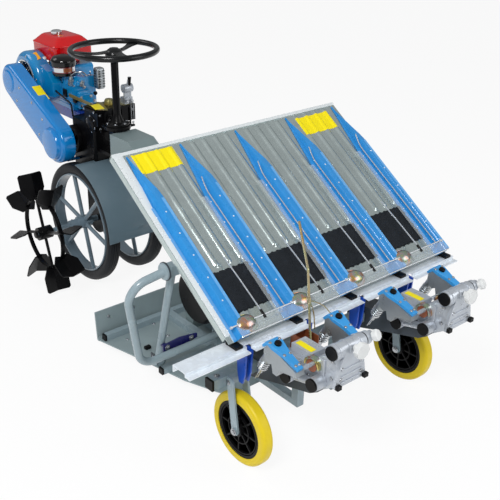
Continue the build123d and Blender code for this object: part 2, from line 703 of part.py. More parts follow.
def make_clutch_pulley():
    back = CASING_W / 2 + SEAT_GAP
    with BuildPart() as clutch_pulley:
        cylinder_y(PULLEY_X, PULLEY_Z, CLUTCH_R, (back, back + CLUTCH_W))
        with Locations(Location((PULLEY_X, back + CLUTCH_W / 2, PULLEY_Z), (90, 0, 0))):
            with PolarLocations(CLUTCH_R * 0.6, 6):
                Cylinder(15, CLUTCH_W, mode=Mode.SUBTRACT)
        cylinder_y(PULLEY_X, PULLEY_Z, BELT_SHAFT_R + SEAT_GAP, (back, back + CLUTCH_W), mode=Mode.SUBTRACT)
    clutch_pulley.part.label = "clutch_pulley"
    export_step(clutch_pulley.part, "parts/clutch_pulley.step")


# ================================================================ frame
def beam_top(x):
    """Height of the beam's upper face over a station on its slope."""
    fall = (BEAM_TOP - BEAM_END_Z - BEAM_H) / (BEAM_KNEE - BEAM_END_X)
    return BEAM_TOP - fall * (BEAM_KNEE - x)


def make_main_beam():
    leg_front = BEAM_END_X + BEAM_LEG_W
    foot = FLOAT_Z + FLOAT_T + SEAT_GAP
    rise = (BEAM_TOP - BEAM_H - BEAM_END_Z) / (BEAM_UNDER_KNEE - BEAM_END_X)
    with BuildPart() as main_beam:
        with BuildSketch(side_plane(0)):
            with BuildLine():
                Polyline(
                    (BEAM_FRONT, BEAM_TOP),
                    (BEAM_KNEE, BEAM_TOP),
                    (BEAM_END_X, BEAM_END_Z + BEAM_H),
                    (BEAM_END_X, foot),
                    (leg_front, foot),
                    (leg_front, BEAM_END_Z + rise * BEAM_LEG_W),
                    (BEAM_UNDER_KNEE, BEAM_TOP - BEAM_H),
                    (BEAM_FRONT, BEAM_TOP - BEAM_H),
                    close=True,
                )
            make_face()
        extrude(amount=BEAM_W / 2, both=True)
    main_beam.part.label = "main_beam"
    export_step(main_beam.part, "parts/main_beam.step")


def make_steering_head():
    z_range = (BEAM_TOP - BEAM_H, BEAM_TOP)
    with BuildPart() as steering_head:
        cylinder_z(PIVOT_X, 0, HEAD_R, z_range)
        box_to((BEAM_FRONT + SEAT_GAP, PIVOT_X), (-HEAD_R, HEAD_R), z_range)
        cylinder_z(PIVOT_X, 0, KINGPIN_R + PIN_GAP, (BEAM_END_Z, BEAM_TOP + 10), mode=Mode.SUBTRACT)
    steering_head.part.label = "steering_head"
    export_step(steering_head.part, "parts/steering_head.step")


def make_float_board():
    top = FLOAT_Z + FLOAT_T
    bow = FLOAT_BOW_X + FLOAT_T
    with BuildPart() as float_board:
        # flat board that narrows to the rear
        with BuildSketch(Plane.XY.offset(FLOAT_Z)):
            with BuildLine():
                Polyline(
                    *FLOAT_SIDE,
                    *[(x, -y) for x, y in reversed(FLOAT_SIDE)],
                    close=True,
                )
            make_face()
        extrude(amount=FLOAT_T)
        # upright bow plate, rounded where it meets the board
        edge = FLOAT_SIDE[0][1]
        with BuildSketch(side_plane(0)):
            with BuildLine():
                Polyline(
                    (FLOAT_BOW_X - 10, FLOAT_Z),
                    (bow - 4, FLOAT_Z),
                    (bow, FLOAT_Z + 4),
                    (bow + FLOAT_LEAN, FLOAT_BOW_TOP),
                    (FLOAT_BOW_X + FLOAT_LEAN, FLOAT_BOW_TOP),
                    (FLOAT_BOW_X, top + 10),
                    (FLOAT_BOW_X - 10, top),
                    close=True,
                )
            make_face()
        extrude(amount=edge, both=True)
    float_board.part.label = "float_board"
    export_step(float_board.part, "parts/float_board.step")


def guide_height():
    """Height of the tray's guide bar, over its two posts."""
    return under_tray(GUIDE_X) - GUIDE_DROP


def make_frame_tubes():
    floor = FLOAT_Z + FLOAT_T
    deck = floor + FLOAT_TUBE
    half = SIDE_TUBE / 2
    cross = TUBE / 2
    bay = FLOAT_TUBE / 2 + SEAT_GAP
    front_x = FLOAT_TUBES[0][0]
    mid_x = FLOAT_TUBES[1][0]
    rear_x = REAR_TUBE_X
    with BuildPart() as frame_tubes:
        # slanting struts, cut level over the float and under the upper cross tube
        for side in (-1, 1):
            foot = (STRUT_FOOT[0], side * STRUT_FOOT[1], STRUT_FOOT[2])
            rod_between(foot, (UPPER_TUBE_X, side * STRUT_TOP_Y, UPPER_TUBE_Z), STRUT_R)
            cylinder_z(foot[0], foot[1], STRUT_R + 12, (floor + SEAT_GAP, floor + 10))
        for z_range in ((0, floor + SEAT_GAP), (UPPER_TUBE_Z - cross - SEAT_GAP, 2 * UPPER_TUBE_Z)):
            box_to((2 * UPPER_TUBE_X, 0), (-2 * UPPER_TUBE_HALF, 2 * UPPER_TUBE_HALF), z_range,
                   mode=Mode.SUBTRACT)
        for x, reach in FLOAT_TUBES:
            box_to((x - FLOAT_TUBE / 2, x + FLOAT_TUBE / 2), (-reach, reach), (floor, deck))
        for x, z, reach in (
            (UPPER_TUBE_X, UPPER_TUBE_Z, UPPER_TUBE_HALF),
            (REAR_TUBE_X, REAR_TUBE_Z, REAR_TUBE_HALF),
        ):
            box_to((x - cross, x + cross), (-reach, reach), (z - cross, z + cross))
        for side in (-1, 1):
            y_range = (side * SIDE_TUBE_Y - half, side * SIDE_TUBE_Y + half)
            # low side tubes, then the posts that stand on them and carry the cross tubes
            box_to((mid_x + bay, front_x - bay), y_range, (floor, deck))
            box_to((rear_x - half, mid_x - bay), y_range, (floor, deck))
            box_to((rear_x - half, rear_x + half), y_range, (deck + SEAT_GAP, REAR_TUBE_Z - cross - SEAT_GAP))
            box_to((rear_x - half, rear_x + half), y_range, (REAR_TUBE_Z + cross + SEAT_GAP, RAIL_SEAT - SEAT_GAP))
            box_to((GUIDE_X - half, GUIDE_X + half), y_range,
                   (deck + SEAT_GAP, guide_height() - GUIDE_R - SLIDE_GAP))
            box_to((mid_x - half, mid_x + half), y_range, (deck + SEAT_GAP, LOOP_LOW_Z + LOOP_R))
        # tie to the beam's rear leg
        box_to((mid_x + bay, BEAM_END_X - SEAT_GAP), (-half, half), (floor, deck))
    frame_tubes.part.label = "frame_tubes"
    export_step(frame_tubes.part, "parts/frame_tubes.step")


def make_guard_loops():
    low_x = FLOAT_TUBES[1][0] - SIDE_TUBE / 2 - SEAT_GAP - LOOP_R
    start_y = UPPER_TUBE_HALF + LOOP_CLAMP_T / 2
    route = [
        (UPPER_TUBE_X, start_y, UPPER_TUBE_Z),
        LOOP_OUT,
        (low_x, LOOP_LOW_Y, LOOP_LOW_Z),
        (low_x, LOOP_END_Y, LOOP_LOW_Z),
    ]
    with BuildPart() as guard_loops:
        for side in (-1, 1):
            points = [(x, side * y, z) for x, y, z in route]
            with BuildLine() as path:
                FilletPolyline(*points, radius=LOOP_BEND)
            with BuildSketch(Plane(origin=path.line @ 0, z_dir=path.line % 0)):
                Circle(LOOP_R)
            sweep(path=path.line)
            near = UPPER_TUBE_HALF + SEAT_GAP
            cylinder_y(UPPER_TUBE_X, UPPER_TUBE_Z, LOOP_CLAMP_R, (side * near, side * (near + LOOP_CLAMP_T)))
    guard_loops.part.label = "guard_loops"
    export_step(guard_loops.part, "parts/guard_loops.step")


def make_lever_links():
    share = (LINK_Z - STRUT_FOOT[2]) / (UPPER_TUBE_Z - STRUT_FOOT[2])
    strut_y = STRUT_FOOT[1] + share * (STRUT_TOP_Y - STRUT_FOOT[1])
    with BuildPart() as lever_links:
        for side in (-1, 1):
            with BuildSketch(Plane(origin=(LINK_X, 0, LINK_Z), x_dir=(0, side, 0), z_dir=(side, 0, 0))):
                with BuildLine():
                    Polyline(
                        (LINK_END_Y, -10),
                        (strut_y - 70, -24),
                        (strut_y + 20, -16),
                        (strut_y + 20, 16),
                        (strut_y - 70, 24),
                        (LINK_END_Y, 10),
                        close=True,
                    )
                make_face()
            extrude(amount=side * LINK_T)
            # pivot pin that ends against the strut
            rod_between((LINK_X, side * strut_y, LINK_Z), (LINK_X + 48, side * strut_y, LINK_Z), 12)
            foot = (STRUT_FOOT[0], side * STRUT_FOOT[1], STRUT_FOOT[2])
            head = (UPPER_TUBE_X, side * STRUT_TOP_Y, UPPER_TUBE_Z)
            rod_between(foot, head, STRUT_R + SEAT_GAP, mode=Mode.SUBTRACT)
    lever_links.part.label = "lever_links"
    export_step(lever_links.part, "parts/lever_links.step")


def make_end_caps():
    floor = FLOAT_Z + FLOAT_T + FLOAT_TUBE / 2
    table = [(x, floor, reach, FLOAT_TUBE) for x, reach in FLOAT_TUBES]
    table += [(REAR_TUBE_X, REAR_TUBE_Z, REAR_TUBE_HALF, TUBE)]
    with BuildPart() as end_caps:
        for x, z, reach, size in table:
            for side in (-1, 1):
                near = side * (reach + SEAT_GAP)
                far = side * (reach + CAP_T)
                box_to((x - size / 2, x + size / 2), (near, far), (z - size / 2, z + size / 2))
    end_caps.part.label = "end_caps"
    export_step(end_caps.part, "parts/end_caps.step")


def make_seat_frame():
    back, front = SEAT_X - 30, SEAT_X + 30
    with BuildPart() as seat_frame:
        with BuildSketch(side_plane(0)):
            with BuildLine():
                Polyline(
                    (back, beam_top(back) + SEAT_GAP),
                    (front, beam_top(front) + SEAT_GAP),
                    (front, SEAT_Z - SEAT_GAP),
                    (back, SEAT_Z - SEAT_GAP),
                    close=True,
                )
            make_face()
        extrude(amount=30, both=True)
        box_to((SEAT_X - 75, SEAT_X + 75), (-65, 65), (SEAT_Z - 12, SEAT_Z - SEAT_GAP))
    seat_frame.part.label = "seat_frame"
    export_step(seat_frame.part, "parts/seat_frame.step")


def make_seat():
    with BuildPart() as seat:
        with BuildSketch(Plane.XY.offset(SEAT_Z)) as outline:
            with Locations((SEAT_X, 0)):
                Rectangle(2 * SEAT_R * 0.86, 2 * SEAT_R)
            fillet(outline.vertices(), 90)
        extrude(amount=SEAT_T)
    seat.part.label = "seat"
    export_step(seat.part, "parts/seat.step")


def make_drive_case():
    floor = FLOAT_Z + FLOAT_T + SEAT_GAP
    half = DRIVE_CASE_W / 2
    with BuildPart() as drive_case:
        cylinder_y(DRIVE_CASE_X, DRIVE_CASE_Z, DRIVE_CASE_R, (-half, half))
        fillet(drive_case.edges().filter_by(GeomType.CIRCLE), 16)
        box_to((DRIVE_CASE_X + 30, DRIVE_CASE_X + 90), (-40, 40), (floor + FLOAT_TUBE, DRIVE_CASE_Z))
    drive_case.part.label = "drive_case"
    export_step(drive_case.part, "parts/drive_case.step")


def make_rail():
    ahead = FOOT_X + RAIL_AHEAD
    back = ahead - RAIL_TOP_W
    split = back + GATE_DEPTH
    edges = [-RAIL_HALF] + [y + side * GATE_W / 2 for y in ROWS for side in (-1, 1)] + [RAIL_HALF]
    low = RAIL_Z - RAIL_DROP - RAIL_T
    with BuildPart() as rail:
        with BuildSketch(side_plane(0)):
            with BuildLine():
                Polyline(
                    (ahead, RAIL_Z),
                    (split + SEAT_GAP, RAIL_Z),
                    (split + SEAT_GAP, RAIL_Z - RAIL_T),
                    (ahead - RAIL_T, RAIL_Z - RAIL_T),
                    (ahead - RAIL_T, RAIL_SEAT),
                    (ahead, RAIL_SEAT),
                    close=True,
                )
            make_face()
        extrude(amount=RAIL_HALF, both=True)
        # stepped rear strips, one between each two gates
        for right, left in zip(edges[::2], edges[1::2]):
            with BuildSketch(side_plane(left)):
                with BuildLine():
                    Polyline(
                        (split, RAIL_Z),
                        (back, RAIL_Z),
                        (back, low + RAIL_T),
                        (back - RAIL_LIP, low + RAIL_T),
                        (back - RAIL_LIP, low),
                        (back + RAIL_T, low),
                        (back + RAIL_T, RAIL_Z - RAIL_T),
                        (split, RAIL_Z - RAIL_T),
                        close=True,
                    )
                make_face()
            extrude(amount=left - right)
    rail.part.label = "rail"
    export_step(rail.part, "parts/rail.step")


def make_rail_legs():
    back = FOOT_X + RAIL_AHEAD - RAIL_TOP_W
    top = RAIL_Z - RAIL_DROP - RAIL_T - SEAT_GAP
    with BuildPart() as rail_legs:
        for y in ROWS:
            for side in (-1, 1):
                with BuildSketch(side_plane(y + side * (GATE_W / 2 + 3))):
                    with BuildLine():
                        Polyline(
                            (back + 52, top),
                            (back - 4, top),
                            (back + 2, top - 0.7 * LEG_DROP),
                            (back + 14, top - LEG_DROP),
                            (back + 34, top - LEG_DROP),
                            (back + 44, top - 0.7 * LEG_DROP),
                            close=True,
                        )
                    make_face()
                extrude(amount=4, both=True)
    rail_legs.part.label = "rail_legs"
    export_step(rail_legs.part, "parts/rail_legs.step")


# ================================================================ planting units
def make_planting_cases():
    boss_z = CASE_TOP + 20
    with BuildPart() as planting_cases:
        for y in CASE_ROWS:
            with BuildSketch(side_plane(y)):
                with BuildLine():
                    Polyline(
                        (CASE_FRONT, CASE_BOTTOM + 4),
                        (CASE_FRONT, CASE_BOTTOM + 42),
                        (CASE_FRONT - 32, CASE_BOTTOM + 60),
                        (CASE_FRONT - 130, CASE_BOTTOM + 66),
                        (CASE_FRONT - 190, CASE_TOP - 40),
                        (CASE_BACK + 20, CASE_TOP),
                        (CASE_BACK, CASE_TOP),
                        (CASE_BACK, CASE_TOP - 80),
                        (CASE_BACK + 20, CASE_BOTTOM + 30),
                        (CASE_BACK + 62, CASE_BOTTOM),
                        (CASE_FRONT - 32, CASE_BOTTOM),
                        close=True,
                    )
                make_face()
            extrude(amount=CASE_W / 2, both=True)
            # chain-tension box on top
            box_to((CASE_FRONT - 138, CASE_FRONT - 38), (y - 35, y + 35), (CASE_BOTTOM + 50, CASE_BOTTOM + 95))
            # flared rear wall and the cross boss over it
            with BuildSketch(Plane(origin=(CASE_BACK, y, 0), x_dir=(0, -1, 0), z_dir=(-1, 0, 0))):
                with BuildLine():
                    Polyline(
                        (-76, CASE_BOTTOM + 50),
                        (76, CASE_BOTTOM + 50),
                        (62, CASE_TOP - 40),
                        (34, boss_z),
                        (-34, boss_z),
                        (-62, CASE_TOP - 40),
                        close=True,
                    )
                make_face()
            extrude(amount=12)
            cylinder_y(CASE_BACK + 16, boss_z, BOSS_R + 2, (y - 72, y + 72))
    planting_cases.part.label = "planting_cases"
    export_step(planting_cases.part, "parts/planting_cases.step")


def make_case_castings():
    cross = TUBE / 2 + SEAT_GAP
    seat = CASE_BOTTOM - SEAT_GAP
    with BuildPart() as case_castings:
        for y in CASE_ROWS:
            with BuildSketch(side_plane(y)):
                with BuildLine():
                    Polyline(
                        (REAR_TUBE_X + 76, REAR_TUBE_Z + 34),
                        (REAR_TUBE_X + 76, 268),
                        (REAR_TUBE_X - 29, 301),
                        (REAR_TUBE_X - 125, 332),
                        (REAR_TUBE_X - 218, 360),
                        (REAR_TUBE_X - 300, 385),
                        (REAR_TUBE_X - 338, 410),
                        (REAR_TUBE_X - 356, seat),
                        (CASE_FRONT - 32, seat),
                        (CASE_FRONT + SEAT_GAP + 1, seat),
                        (CASE_FRONT + SEAT_GAP + 60, REAR_TUBE_Z + 60),
                        close=True,
                    )
                make_face()
            extrude(amount=CASE_W / 2, both=True)
        box_to((REAR_TUBE_X - cross, REAR_TUBE_X + cross), (-2 * ROW_PITCH, 2 * ROW_PITCH),
               (REAR_TUBE_Z - cross, REAR_TUBE_Z + cross), mode=Mode.SUBTRACT)
    case_castings.part.label = "case_castings"
    export_step(case_castings.part, "parts/case_castings.step")


def make_filler_knobs():
    boss_z = CASE_TOP + 20
    with BuildPart() as filler_knobs:
        for case_y in CASE_ROWS:
            for shift, drop in KNOBS:
                seat = Vector(CASE_BACK - 12 - SEAT_GAP, case_y + shift, boss_z - drop)
                with Locations(Location((seat.X - 9, seat.Y, seat.Z), (0, 90, 0))):
                    Cylinder(12, 18)
                with BuildSketch(Plane(origin=seat + Vector(-18, 0, 0), x_dir=(0, -1, 0), z_dir=(-1, 0, 0))):
                    RegularPolygon(30, 8)
                extrude(amount=20)
    filler_knobs.part.label = "filler_knobs"
    export_step(filler_knobs.part, "parts/filler_knobs.step")


def arm_side(y):
    """+1 when the drive case lies on the arm's left, -1 when on its right."""
    nearest = min(CASE_ROWS, key=lambda case_y: abs(case_y - y))
    return 1 if nearest > y else -1


def make_planting_arms():
    with BuildPart() as planting_arms:
        for y in ROWS:
            with BuildSketch(side_plane(y)):
                with BuildLine():
                    Polyline(
                        (ARM_PIVOT[0] - 4, ARM_PIVOT[1] - 17),
                        (ARM_PIVOT[0], ARM_PIVOT[1]),
                        ARM_NOSE,
                        (ARM_NOSE[0] + 24, ARM_NOSE[1] - 20),
                        (ARM_NOSE[0] + 26, ARM_NOSE[1] - 44),
                        (ARM_NOSE[0] + 14, ARM_NOSE[1] - 72),
                        (ARM_NOSE[0] - 3, ARM_NOSE[1] - 80),
                        (ARM_NOSE[0] - 16, ARM_NOSE[1] - 72),
                        (PIN_A[0] + 12, PIN_A[1] - 8),
                        (PIN_A[0] - 8, PIN_A[1] - 10),
                        (PIN_A[0] - 22, PIN_A[1] + 18),
                        close=True,
                    )
                make_face()
            extrude(amount=ARM_T_Y / 2, both=True)
            rod_between((PUSH_TOP[0], y, PUSH_TOP[1]), (PUSH_END[0], y, PUSH_END[1]), 19)
    planting_arms.part.label = "planting_arms"
    export_step(planting_arms.part, "parts/planting_arms.step")


def make_arm_covers():
    heel = Vector(*ARM_PIVOT)
    nose = Vector(*ARM_NOSE)
    chin = nose + Vector(24, -20)
    up = Vector(-(nose - heel).Y, (nose - heel).X).normalized()
    fore = Vector(20, 24).normalized()
    with BuildPart() as arm_covers:
        for y in ROWS:
            with BuildSketch(side_plane(y)):
                with BuildLine():
                    Polyline(
                        heel + up * SEAT_GAP,
                        nose + up * SEAT_GAP,
                        nose + fore * SEAT_GAP,
                        chin + fore * SEAT_GAP,
                        chin + fore * COVER_T * 0.7,
                        nose + fore * COVER_T,
                        nose + up * COVER_T,
                        heel + up * COVER_T,
                        close=True,
                    )
                make_face()
            extrude(amount=30, both=True)
        # plan outline: a narrow tail that widens to the nose
        with BuildSketch(Plane.XY):
            for y in ROWS:
                with BuildLine():
                    Polyline(
                        (heel.X - 10, y - 12),
                        ((heel.X + nose.X) / 2, y - 18),
                        (nose.X - 20, y - 29),
                        (nose.X + 44, y - 25),
                        (nose.X + 44, y + 25),
                        (nose.X - 20, y + 29),
                        ((heel.X + nose.X) / 2, y + 18),
                        (heel.X - 10, y + 12),
                        close=True,
                    )
                make_face()
        extrude(amount=2 * ARM_NOSE[1], mode=Mode.INTERSECT)
    arm_covers.part.label = "arm_covers"
    export_step(arm_covers.part, "parts/arm_covers.step")


def make_arm_cranks():
    with BuildPart() as arm_cranks:
        for y in ROWS:
            side = arm_side(y)
            wall = y + side * CASE_IN
            for x, z in (CRANK_A, CRANK_B):
                cylinder_y(x, z, BOSS_R, (y + side * CRANK_IN, wall))
            mid = y + side * (CRANK_IN + 22)
            rod_between((CRANK_A[0], mid, CRANK_A[1]), (CRANK_B[0], mid, CRANK_B[1]), 15)
            # pins that carry the arm
            for x, z in (PIN_A, PIN_B):
                cylinder_y(x, z, 8, (y + side * (ARM_T_Y / 2 + SEAT_GAP), wall))
    arm_cranks.part.label = "arm_cranks"
    export_step(arm_cranks.part, "parts/arm_cranks.step")


def make_planting_needles():
    start = Vector(PUSH_END[0], 0, PUSH_END[1])
    run = (start - Vector(PUSH_TOP[0], 0, PUSH_TOP[1])).normalized()
    with BuildPart() as planting_needles:
        for y in ROWS:
            root = start + Vector(0, y, 0)
            rod_between(root + run * SEAT_GAP, root + run * 12, 16)
            rod_between(root + run * 11, root + run * 34, 10)
            for side in (-1, 1):
                shift = Vector(0, side * 6, 0)
                rod_between(root + shift + run * 30, root + shift + run * NEEDLE_LENGTH * 1.2, 2.2)
    planting_needles.part.label = "planting_needles"
    export_step(planting_needles.part, "parts/planting_needles.step")


def make_arm_caps():
    boss_z = CASE_TOP + 20
    with BuildPart() as arm_caps:
        for y in ROWS:
            side = arm_side(y)
            for x, z in (CRANK_A, CRANK_B):
                face = y + side * (CRANK_IN - SEAT_GAP)
                cylinder_y(x, z, BOSS_R - 1, (face, face - side * 8))
        for y in CASE_ROWS:
            for side in (-1, 1):
                face = y + side * (72 + SEAT_GAP)
                cylinder_y(CASE_BACK + 16, boss_z, BOSS_R, (face, face + side * 6))
                # rubber stops at the rear wall's lower corners
                y_range = (y + side * 56, y + side * 76)
                box_to((CASE_BACK - 26, CASE_BACK - 12 - SEAT_GAP), y_range, (CASE_BOTTOM + 50, CASE_BOTTOM + 66))
    arm_caps.part.label = "arm_caps"
    export_step(arm_caps.part, "parts/arm_caps.step")


def make_crank_guards():
    x, z = GUARD_DISC
    with BuildPart() as crank_guards:
        for y in ROWS:
            side = arm_side(y)
            wall = y + side * CASE_IN
            for inner_r, depth in ((GUARD_DISC_R - 3, 22), (GUARD_DISC_R - 8, 3)):
                outer_face = y + side * (CASE_IN - 22)
                far = wall if depth == 22 else outer_face + side * depth
                with BuildSketch(side_plane(max(outer_face, far), x, z)):
                    with BuildLine():
                        outer = CenterArc((0, 0), GUARD_DISC_R, -10, 200)
                        inner = CenterArc((0, 0), inner_r, -10, 200)
                        Line(outer @ 0, inner @ 0)
                        Line(outer @ 1, inner @ 1)
                    make_face()
                extrude(amount=abs(far - outer_face))
    crank_guards.part.label = "crank_guards"
    export_step(crank_guards.part, "parts/crank_guards.step")


def make_clutch_bracket():
    low, high = CLUTCH_BOX_Z
    back, front = CLUTCH_BOX_X
    half = CLUTCH_BOX_W / 2
    with BuildPart() as clutch_bracket:
        box_to((back, front), (CLUTCH_Y - half, CLUTCH_Y + half), (low, high))
        box_to((back - 1, front - 4), (CLUTCH_Y - half + 4, CLUTCH_Y + half - 4), (low + 4, high + 1),
               mode=Mode.SUBTRACT)
    clutch_bracket.part.label = "clutch_bracket"
    export_step(clutch_bracket.part, "parts/clutch_bracket.step")


def make_clutch_lever():
    foot = (CLUTCH_BOX_X[0] + 4, CLUTCH_Y, CLUTCH_BOX_Z[0] + 4 + LEVER_R + SEAT_GAP)
    with BuildPart() as clutch_lever:
        rod_between(foot, LEVER_BEND, LEVER_R)
        with Locations(LEVER_BEND):
            Sphere(LEVER_R)
        rod_between(LEVER_BEND, LEVER_TOP, LEVER_R)
    clutch_lever.part.label = "clutch_lever"
    export_step(clutch_lever.part, "parts/clutch_lever.step")


# ================================================================ rear wheels
def make_rear_forks():
    face = REAR_TUBE_X - TUBE / 2 - SEAT_GAP
    top = Vector(face - FORK_W / 2, REAR_TUBE_Z + TUBE / 2 - FORK_W / 2)
    axle = Vector(REAR_WHEEL_X, REAR_R)
    run = (top - axle).normalized()
    across = Vector(-run.Y, run.X) * FORK_W / 2
    span = REAR_W / 2 + FORK_GAP + FORK_T
    with BuildPart() as rear_forks:
        for side in (-1, 1):
            y_mid = side * REAR_WHEEL_Y
            for leg in (-1, 1):
                y_leg = y_mid + leg * (REAR_W / 2 + FORK_GAP + FORK_T / 2)
                with BuildSketch(side_plane(y_leg)):
                    with BuildLine():
                        Line(axle - across, top - across)
                        ThreePointArc(top - across, top + run * FORK_W / 2, top + across)
                        Line(top + across, axle + across)
                        ThreePointArc(axle + across, axle - run * FORK_W / 2, axle - across)
                    make_face()
                extrude(amount=FORK_T / 2, both=True)
            box_to((face - 20, face), (y_mid - span, y_mid + span), (REAR_TUBE_Z - 8, REAR_TUBE_Z + TUBE / 2))
            cylinder_y(REAR_WHEEL_X, REAR_R, REAR_PIN_R, (y_mid - span - 8, y_mid + span + 8))
        # flat where the legs meet the cross tube
        box_to((face, face + TUBE), (-2 * REAR_TUBE_HALF, 2 * REAR_TUBE_HALF), (0, 2 * REAR_TUBE_Z),
               mode=Mode.SUBTRACT)
    rear_forks.part.label = "rear_forks"
    export_step(rear_forks.part, "parts/rear_forks.step")


def make_rear_tyre(name, y_mid):
    with BuildPart() as rear_tyre:
        with BuildSketch(Plane(origin=(REAR_WHEEL_X, y_mid, REAR_R))) as section:
            with Locations(((REAR_CORE_R + REAR_R) / 2, 0)):
                Rectangle(REAR_R - REAR_CORE_R, REAR_W)
            fillet(section.vertices().group_by(Axis.X)[-1], REAR_W * 0.3)
        revolve(axis=Axis((REAR_WHEEL_X, 0, REAR_R), (0, 1, 0)))
    rear_tyre.part.label = name
    export_step(rear_tyre.part, f"parts/{name}.step")


def make_rear_core(name, y_mid):
    outer = REAR_CORE_R - SEAT_GAP
    half = REAR_W / 2 - 3
    hub_half = REAR_W / 2 + FORK_GAP - 1
    with BuildPart() as rear_core:
        cylinder_y(REAR_WHEEL_X, REAR_R, outer, (y_mid - half, y_mid + half))
        for side in (-1, 1):
            face = y_mid + side * half
            cylinder_y(REAR_WHEEL_X, REAR_R, outer - 12, (face, face - side * 16), mode=Mode.SUBTRACT)
        with Locations(Location((REAR_WHEEL_X, y_mid, REAR_R), (90, 0, 0))):
            with PolarLocations(REAR_CORE_R / 2, 8):
                Box(REAR_CORE_R - 8, 6, 2 * half - 6)
        cylinder_y(REAR_WHEEL_X, REAR_R, 26, (y_mid - hub_half, y_mid + hub_half))
        cylinder_y(REAR_WHEEL_X, REAR_R, REAR_PIN_R + PIN_GAP, (y_mid - REAR_W, y_mid + REAR_W), mode=Mode.SUBTRACT)
    rear_core.part.label = name
    export_step(rear_core.part, f"parts/{name}.step")


# ================================================================ seedling tray
def tray_box(u_range, y_range, w_range, mode=Mode.ADD):
    """Adds a box given along the slope, across the machine and off the tray's face."""
    spans = (u_range, y_range, w_range)
    centre = tuple((low + high) / 2 for low, high in spans)
    size = tuple(abs(high - low) for low, high in spans)
    with Locations(tray_plane().location * Location(centre)):
        Box(*size, mode=mode)


def divider_lines():
    """Sideways places of the tray's dividers as it is parked."""
    return [TRAY_REST_Y + ROW_PITCH * (i - ROW_COUNT / 2) for i in range(ROW_COUNT + 1)]


def channel_lines():
    """Sideways places of the channel middles as the tray is parked."""
    return [TRAY_REST_Y + y for y in ROWS]


def make_tray_sheet():
    half = ROW_PITCH * ROW_COUNT / 2 + TRAY_SIDE
    sides = (TRAY_REST_Y - half, TRAY_REST_Y + half)
    guide_z = guide_height()
    slope = math.radians(TRAY_SLOPE)
    guide_u = (GUIDE_X - FOOT_X) * math.cos(slope) + (guide_z - FOOT_Z) * math.sin(slope)
    with BuildPart() as tray_sheet:
        tray_box((0, TRAY_LENGTH), sides, (-TRAY_T, 0))
        tray_box((TRAY_LENGTH - TRAY_T, TRAY_LENGTH), sides, (-TRAY_LIP, 0))
        for edge, inward in ((sides[0], 1), (sides[1], -1)):
            tray_box((TRAY_LIP, TRAY_LENGTH), (edge, edge + inward * TRAY_T), (-TRAY_LIP, 0))
        for y_mid in channel_lines():
            for i in range(RIB_COUNT):
                y = y_mid + RIB_PITCH * (i - (RIB_COUNT - 1) / 2)
                tray_box((RIB_START, RIB_END), (y - RIB_W / 2, y + RIB_W / 2), (-1, RIB_H))
        # hangers and the round guide bar that slides on the frame's posts
        cylinder_y(GUIDE_X, guide_z, GUIDE_R, (sides[0] + 10, sides[1] - 10))
        for y in divider_lines()[1:-1]:
            tray_box((guide_u - 12, guide_u + 12), (y - 3, y + 3), (-GUIDE_DROP + 2, -TRAY_T + 1))
    tray_sheet.part.label = "tray_sheet"
    export_step(tray_sheet.part, "parts/tray_sheet.step")


def make_tray_dividers():
    with BuildPart() as tray_dividers:
        for y in divider_lines():
            with BuildSketch(tray_plane(y, SEAT_GAP)):
                with BuildLine():
                    Polyline(
                        (-DIVIDER_FOOT, -DIVIDER_W / 2),
                        (DIVIDER_FLAT, -DIVIDER_W / 2),
                        (TRAY_LENGTH - TRAY_LIP, -3),
                        (TRAY_LENGTH - TRAY_LIP, 3),
                        (DIVIDER_FLAT, DIVIDER_W / 2),
                        (-DIVIDER_FOOT, DIVIDER_W / 2),
                        close=True,
                    )
                make_face()
            extrude(amount=DIVIDER_FOLD)
            with BuildSketch(Plane(origin=tray_plane(y).origin, x_dir=tray_plane().x_dir, z_dir=(0, -1, 0))):
                with BuildLine():
                    Polyline(
                        (-DIVIDER_FOOT, DIVIDER_FOLD - 1),
                        (-DIVIDER_FOOT, DIVIDER_H),
                        (DIVIDER_FLAT, DIVIDER_H),
                        (TRAY_LENGTH - 2 * TRAY_LIP, DIVIDER_FOLD),
                        (TRAY_LENGTH - 2 * TRAY_LIP, DIVIDER_FOLD - 1),
                        close=True,
                    )
                make_face()
            extrude(amount=DIVIDER_RIDGE / 2, both=True)
    tray_dividers.part.label = "tray_dividers"
    export_step(tray_dividers.part, "parts/tray_dividers.step")


def make_feed_belts():
    with BuildPart() as feed_belts:
        for y in channel_lines():
            sides = (y - BELT_W / 2, y + BELT_W / 2)
            tray_box((BELT_START, BELT_START + BELT_LENGTH), sides, (SEAT_GAP, BELT_T))
            for i in range(BELT_TEETH):
                u = BELT_START + BELT_LENGTH * (i + 0.5) / BELT_TEETH
                tray_box((u - 3, u + 3), sides, (BELT_T - 1, BELT_T + 3))
    feed_belts.part.label = "feed_belts"
    export_step(feed_belts.part, "parts/feed_belts.step")


def make_hold_down_rods():
    slope_plane = tray_plane()
    lines = divider_lines()
    foot = WIRE_U + ROD_R + SEAT_GAP
    with BuildPart() as hold_down_rods:
        start = slope_plane.from_local_coords((WIRE_U, lines[0] - 6, WIRE_LIFT))
        end = slope_plane.from_local_coords((WIRE_U, lines[-1] + 6, WIRE_LIFT))
        rod_between(start, end, ROD_R)
        for y in lines:
            tray_box((WIRE_U - 8, WIRE_U + 8), (y - 6, y + 6), (DIVIDER_H + SEAT_GAP, WIRE_LIFT + ROD_R))
        for y in channel_lines():
            low = slope_plane.from_local_coords((foot, y, WIRE_LIFT))
            high = slope_plane.from_local_coords((ROD_TOP, y, WIRE_LIFT))
            bent = slope_plane.from_local_coords((ROD_TOP + 30, y, WIRE_LIFT + ROD_LIFT))
            rod_between(low, high, ROD_R)
            rod_between(high, bent, ROD_R)
    hold_down_rods.part.label = "hold_down_rods"
    export_step(hold_down_rods.part, "parts/hold_down_rods.step")


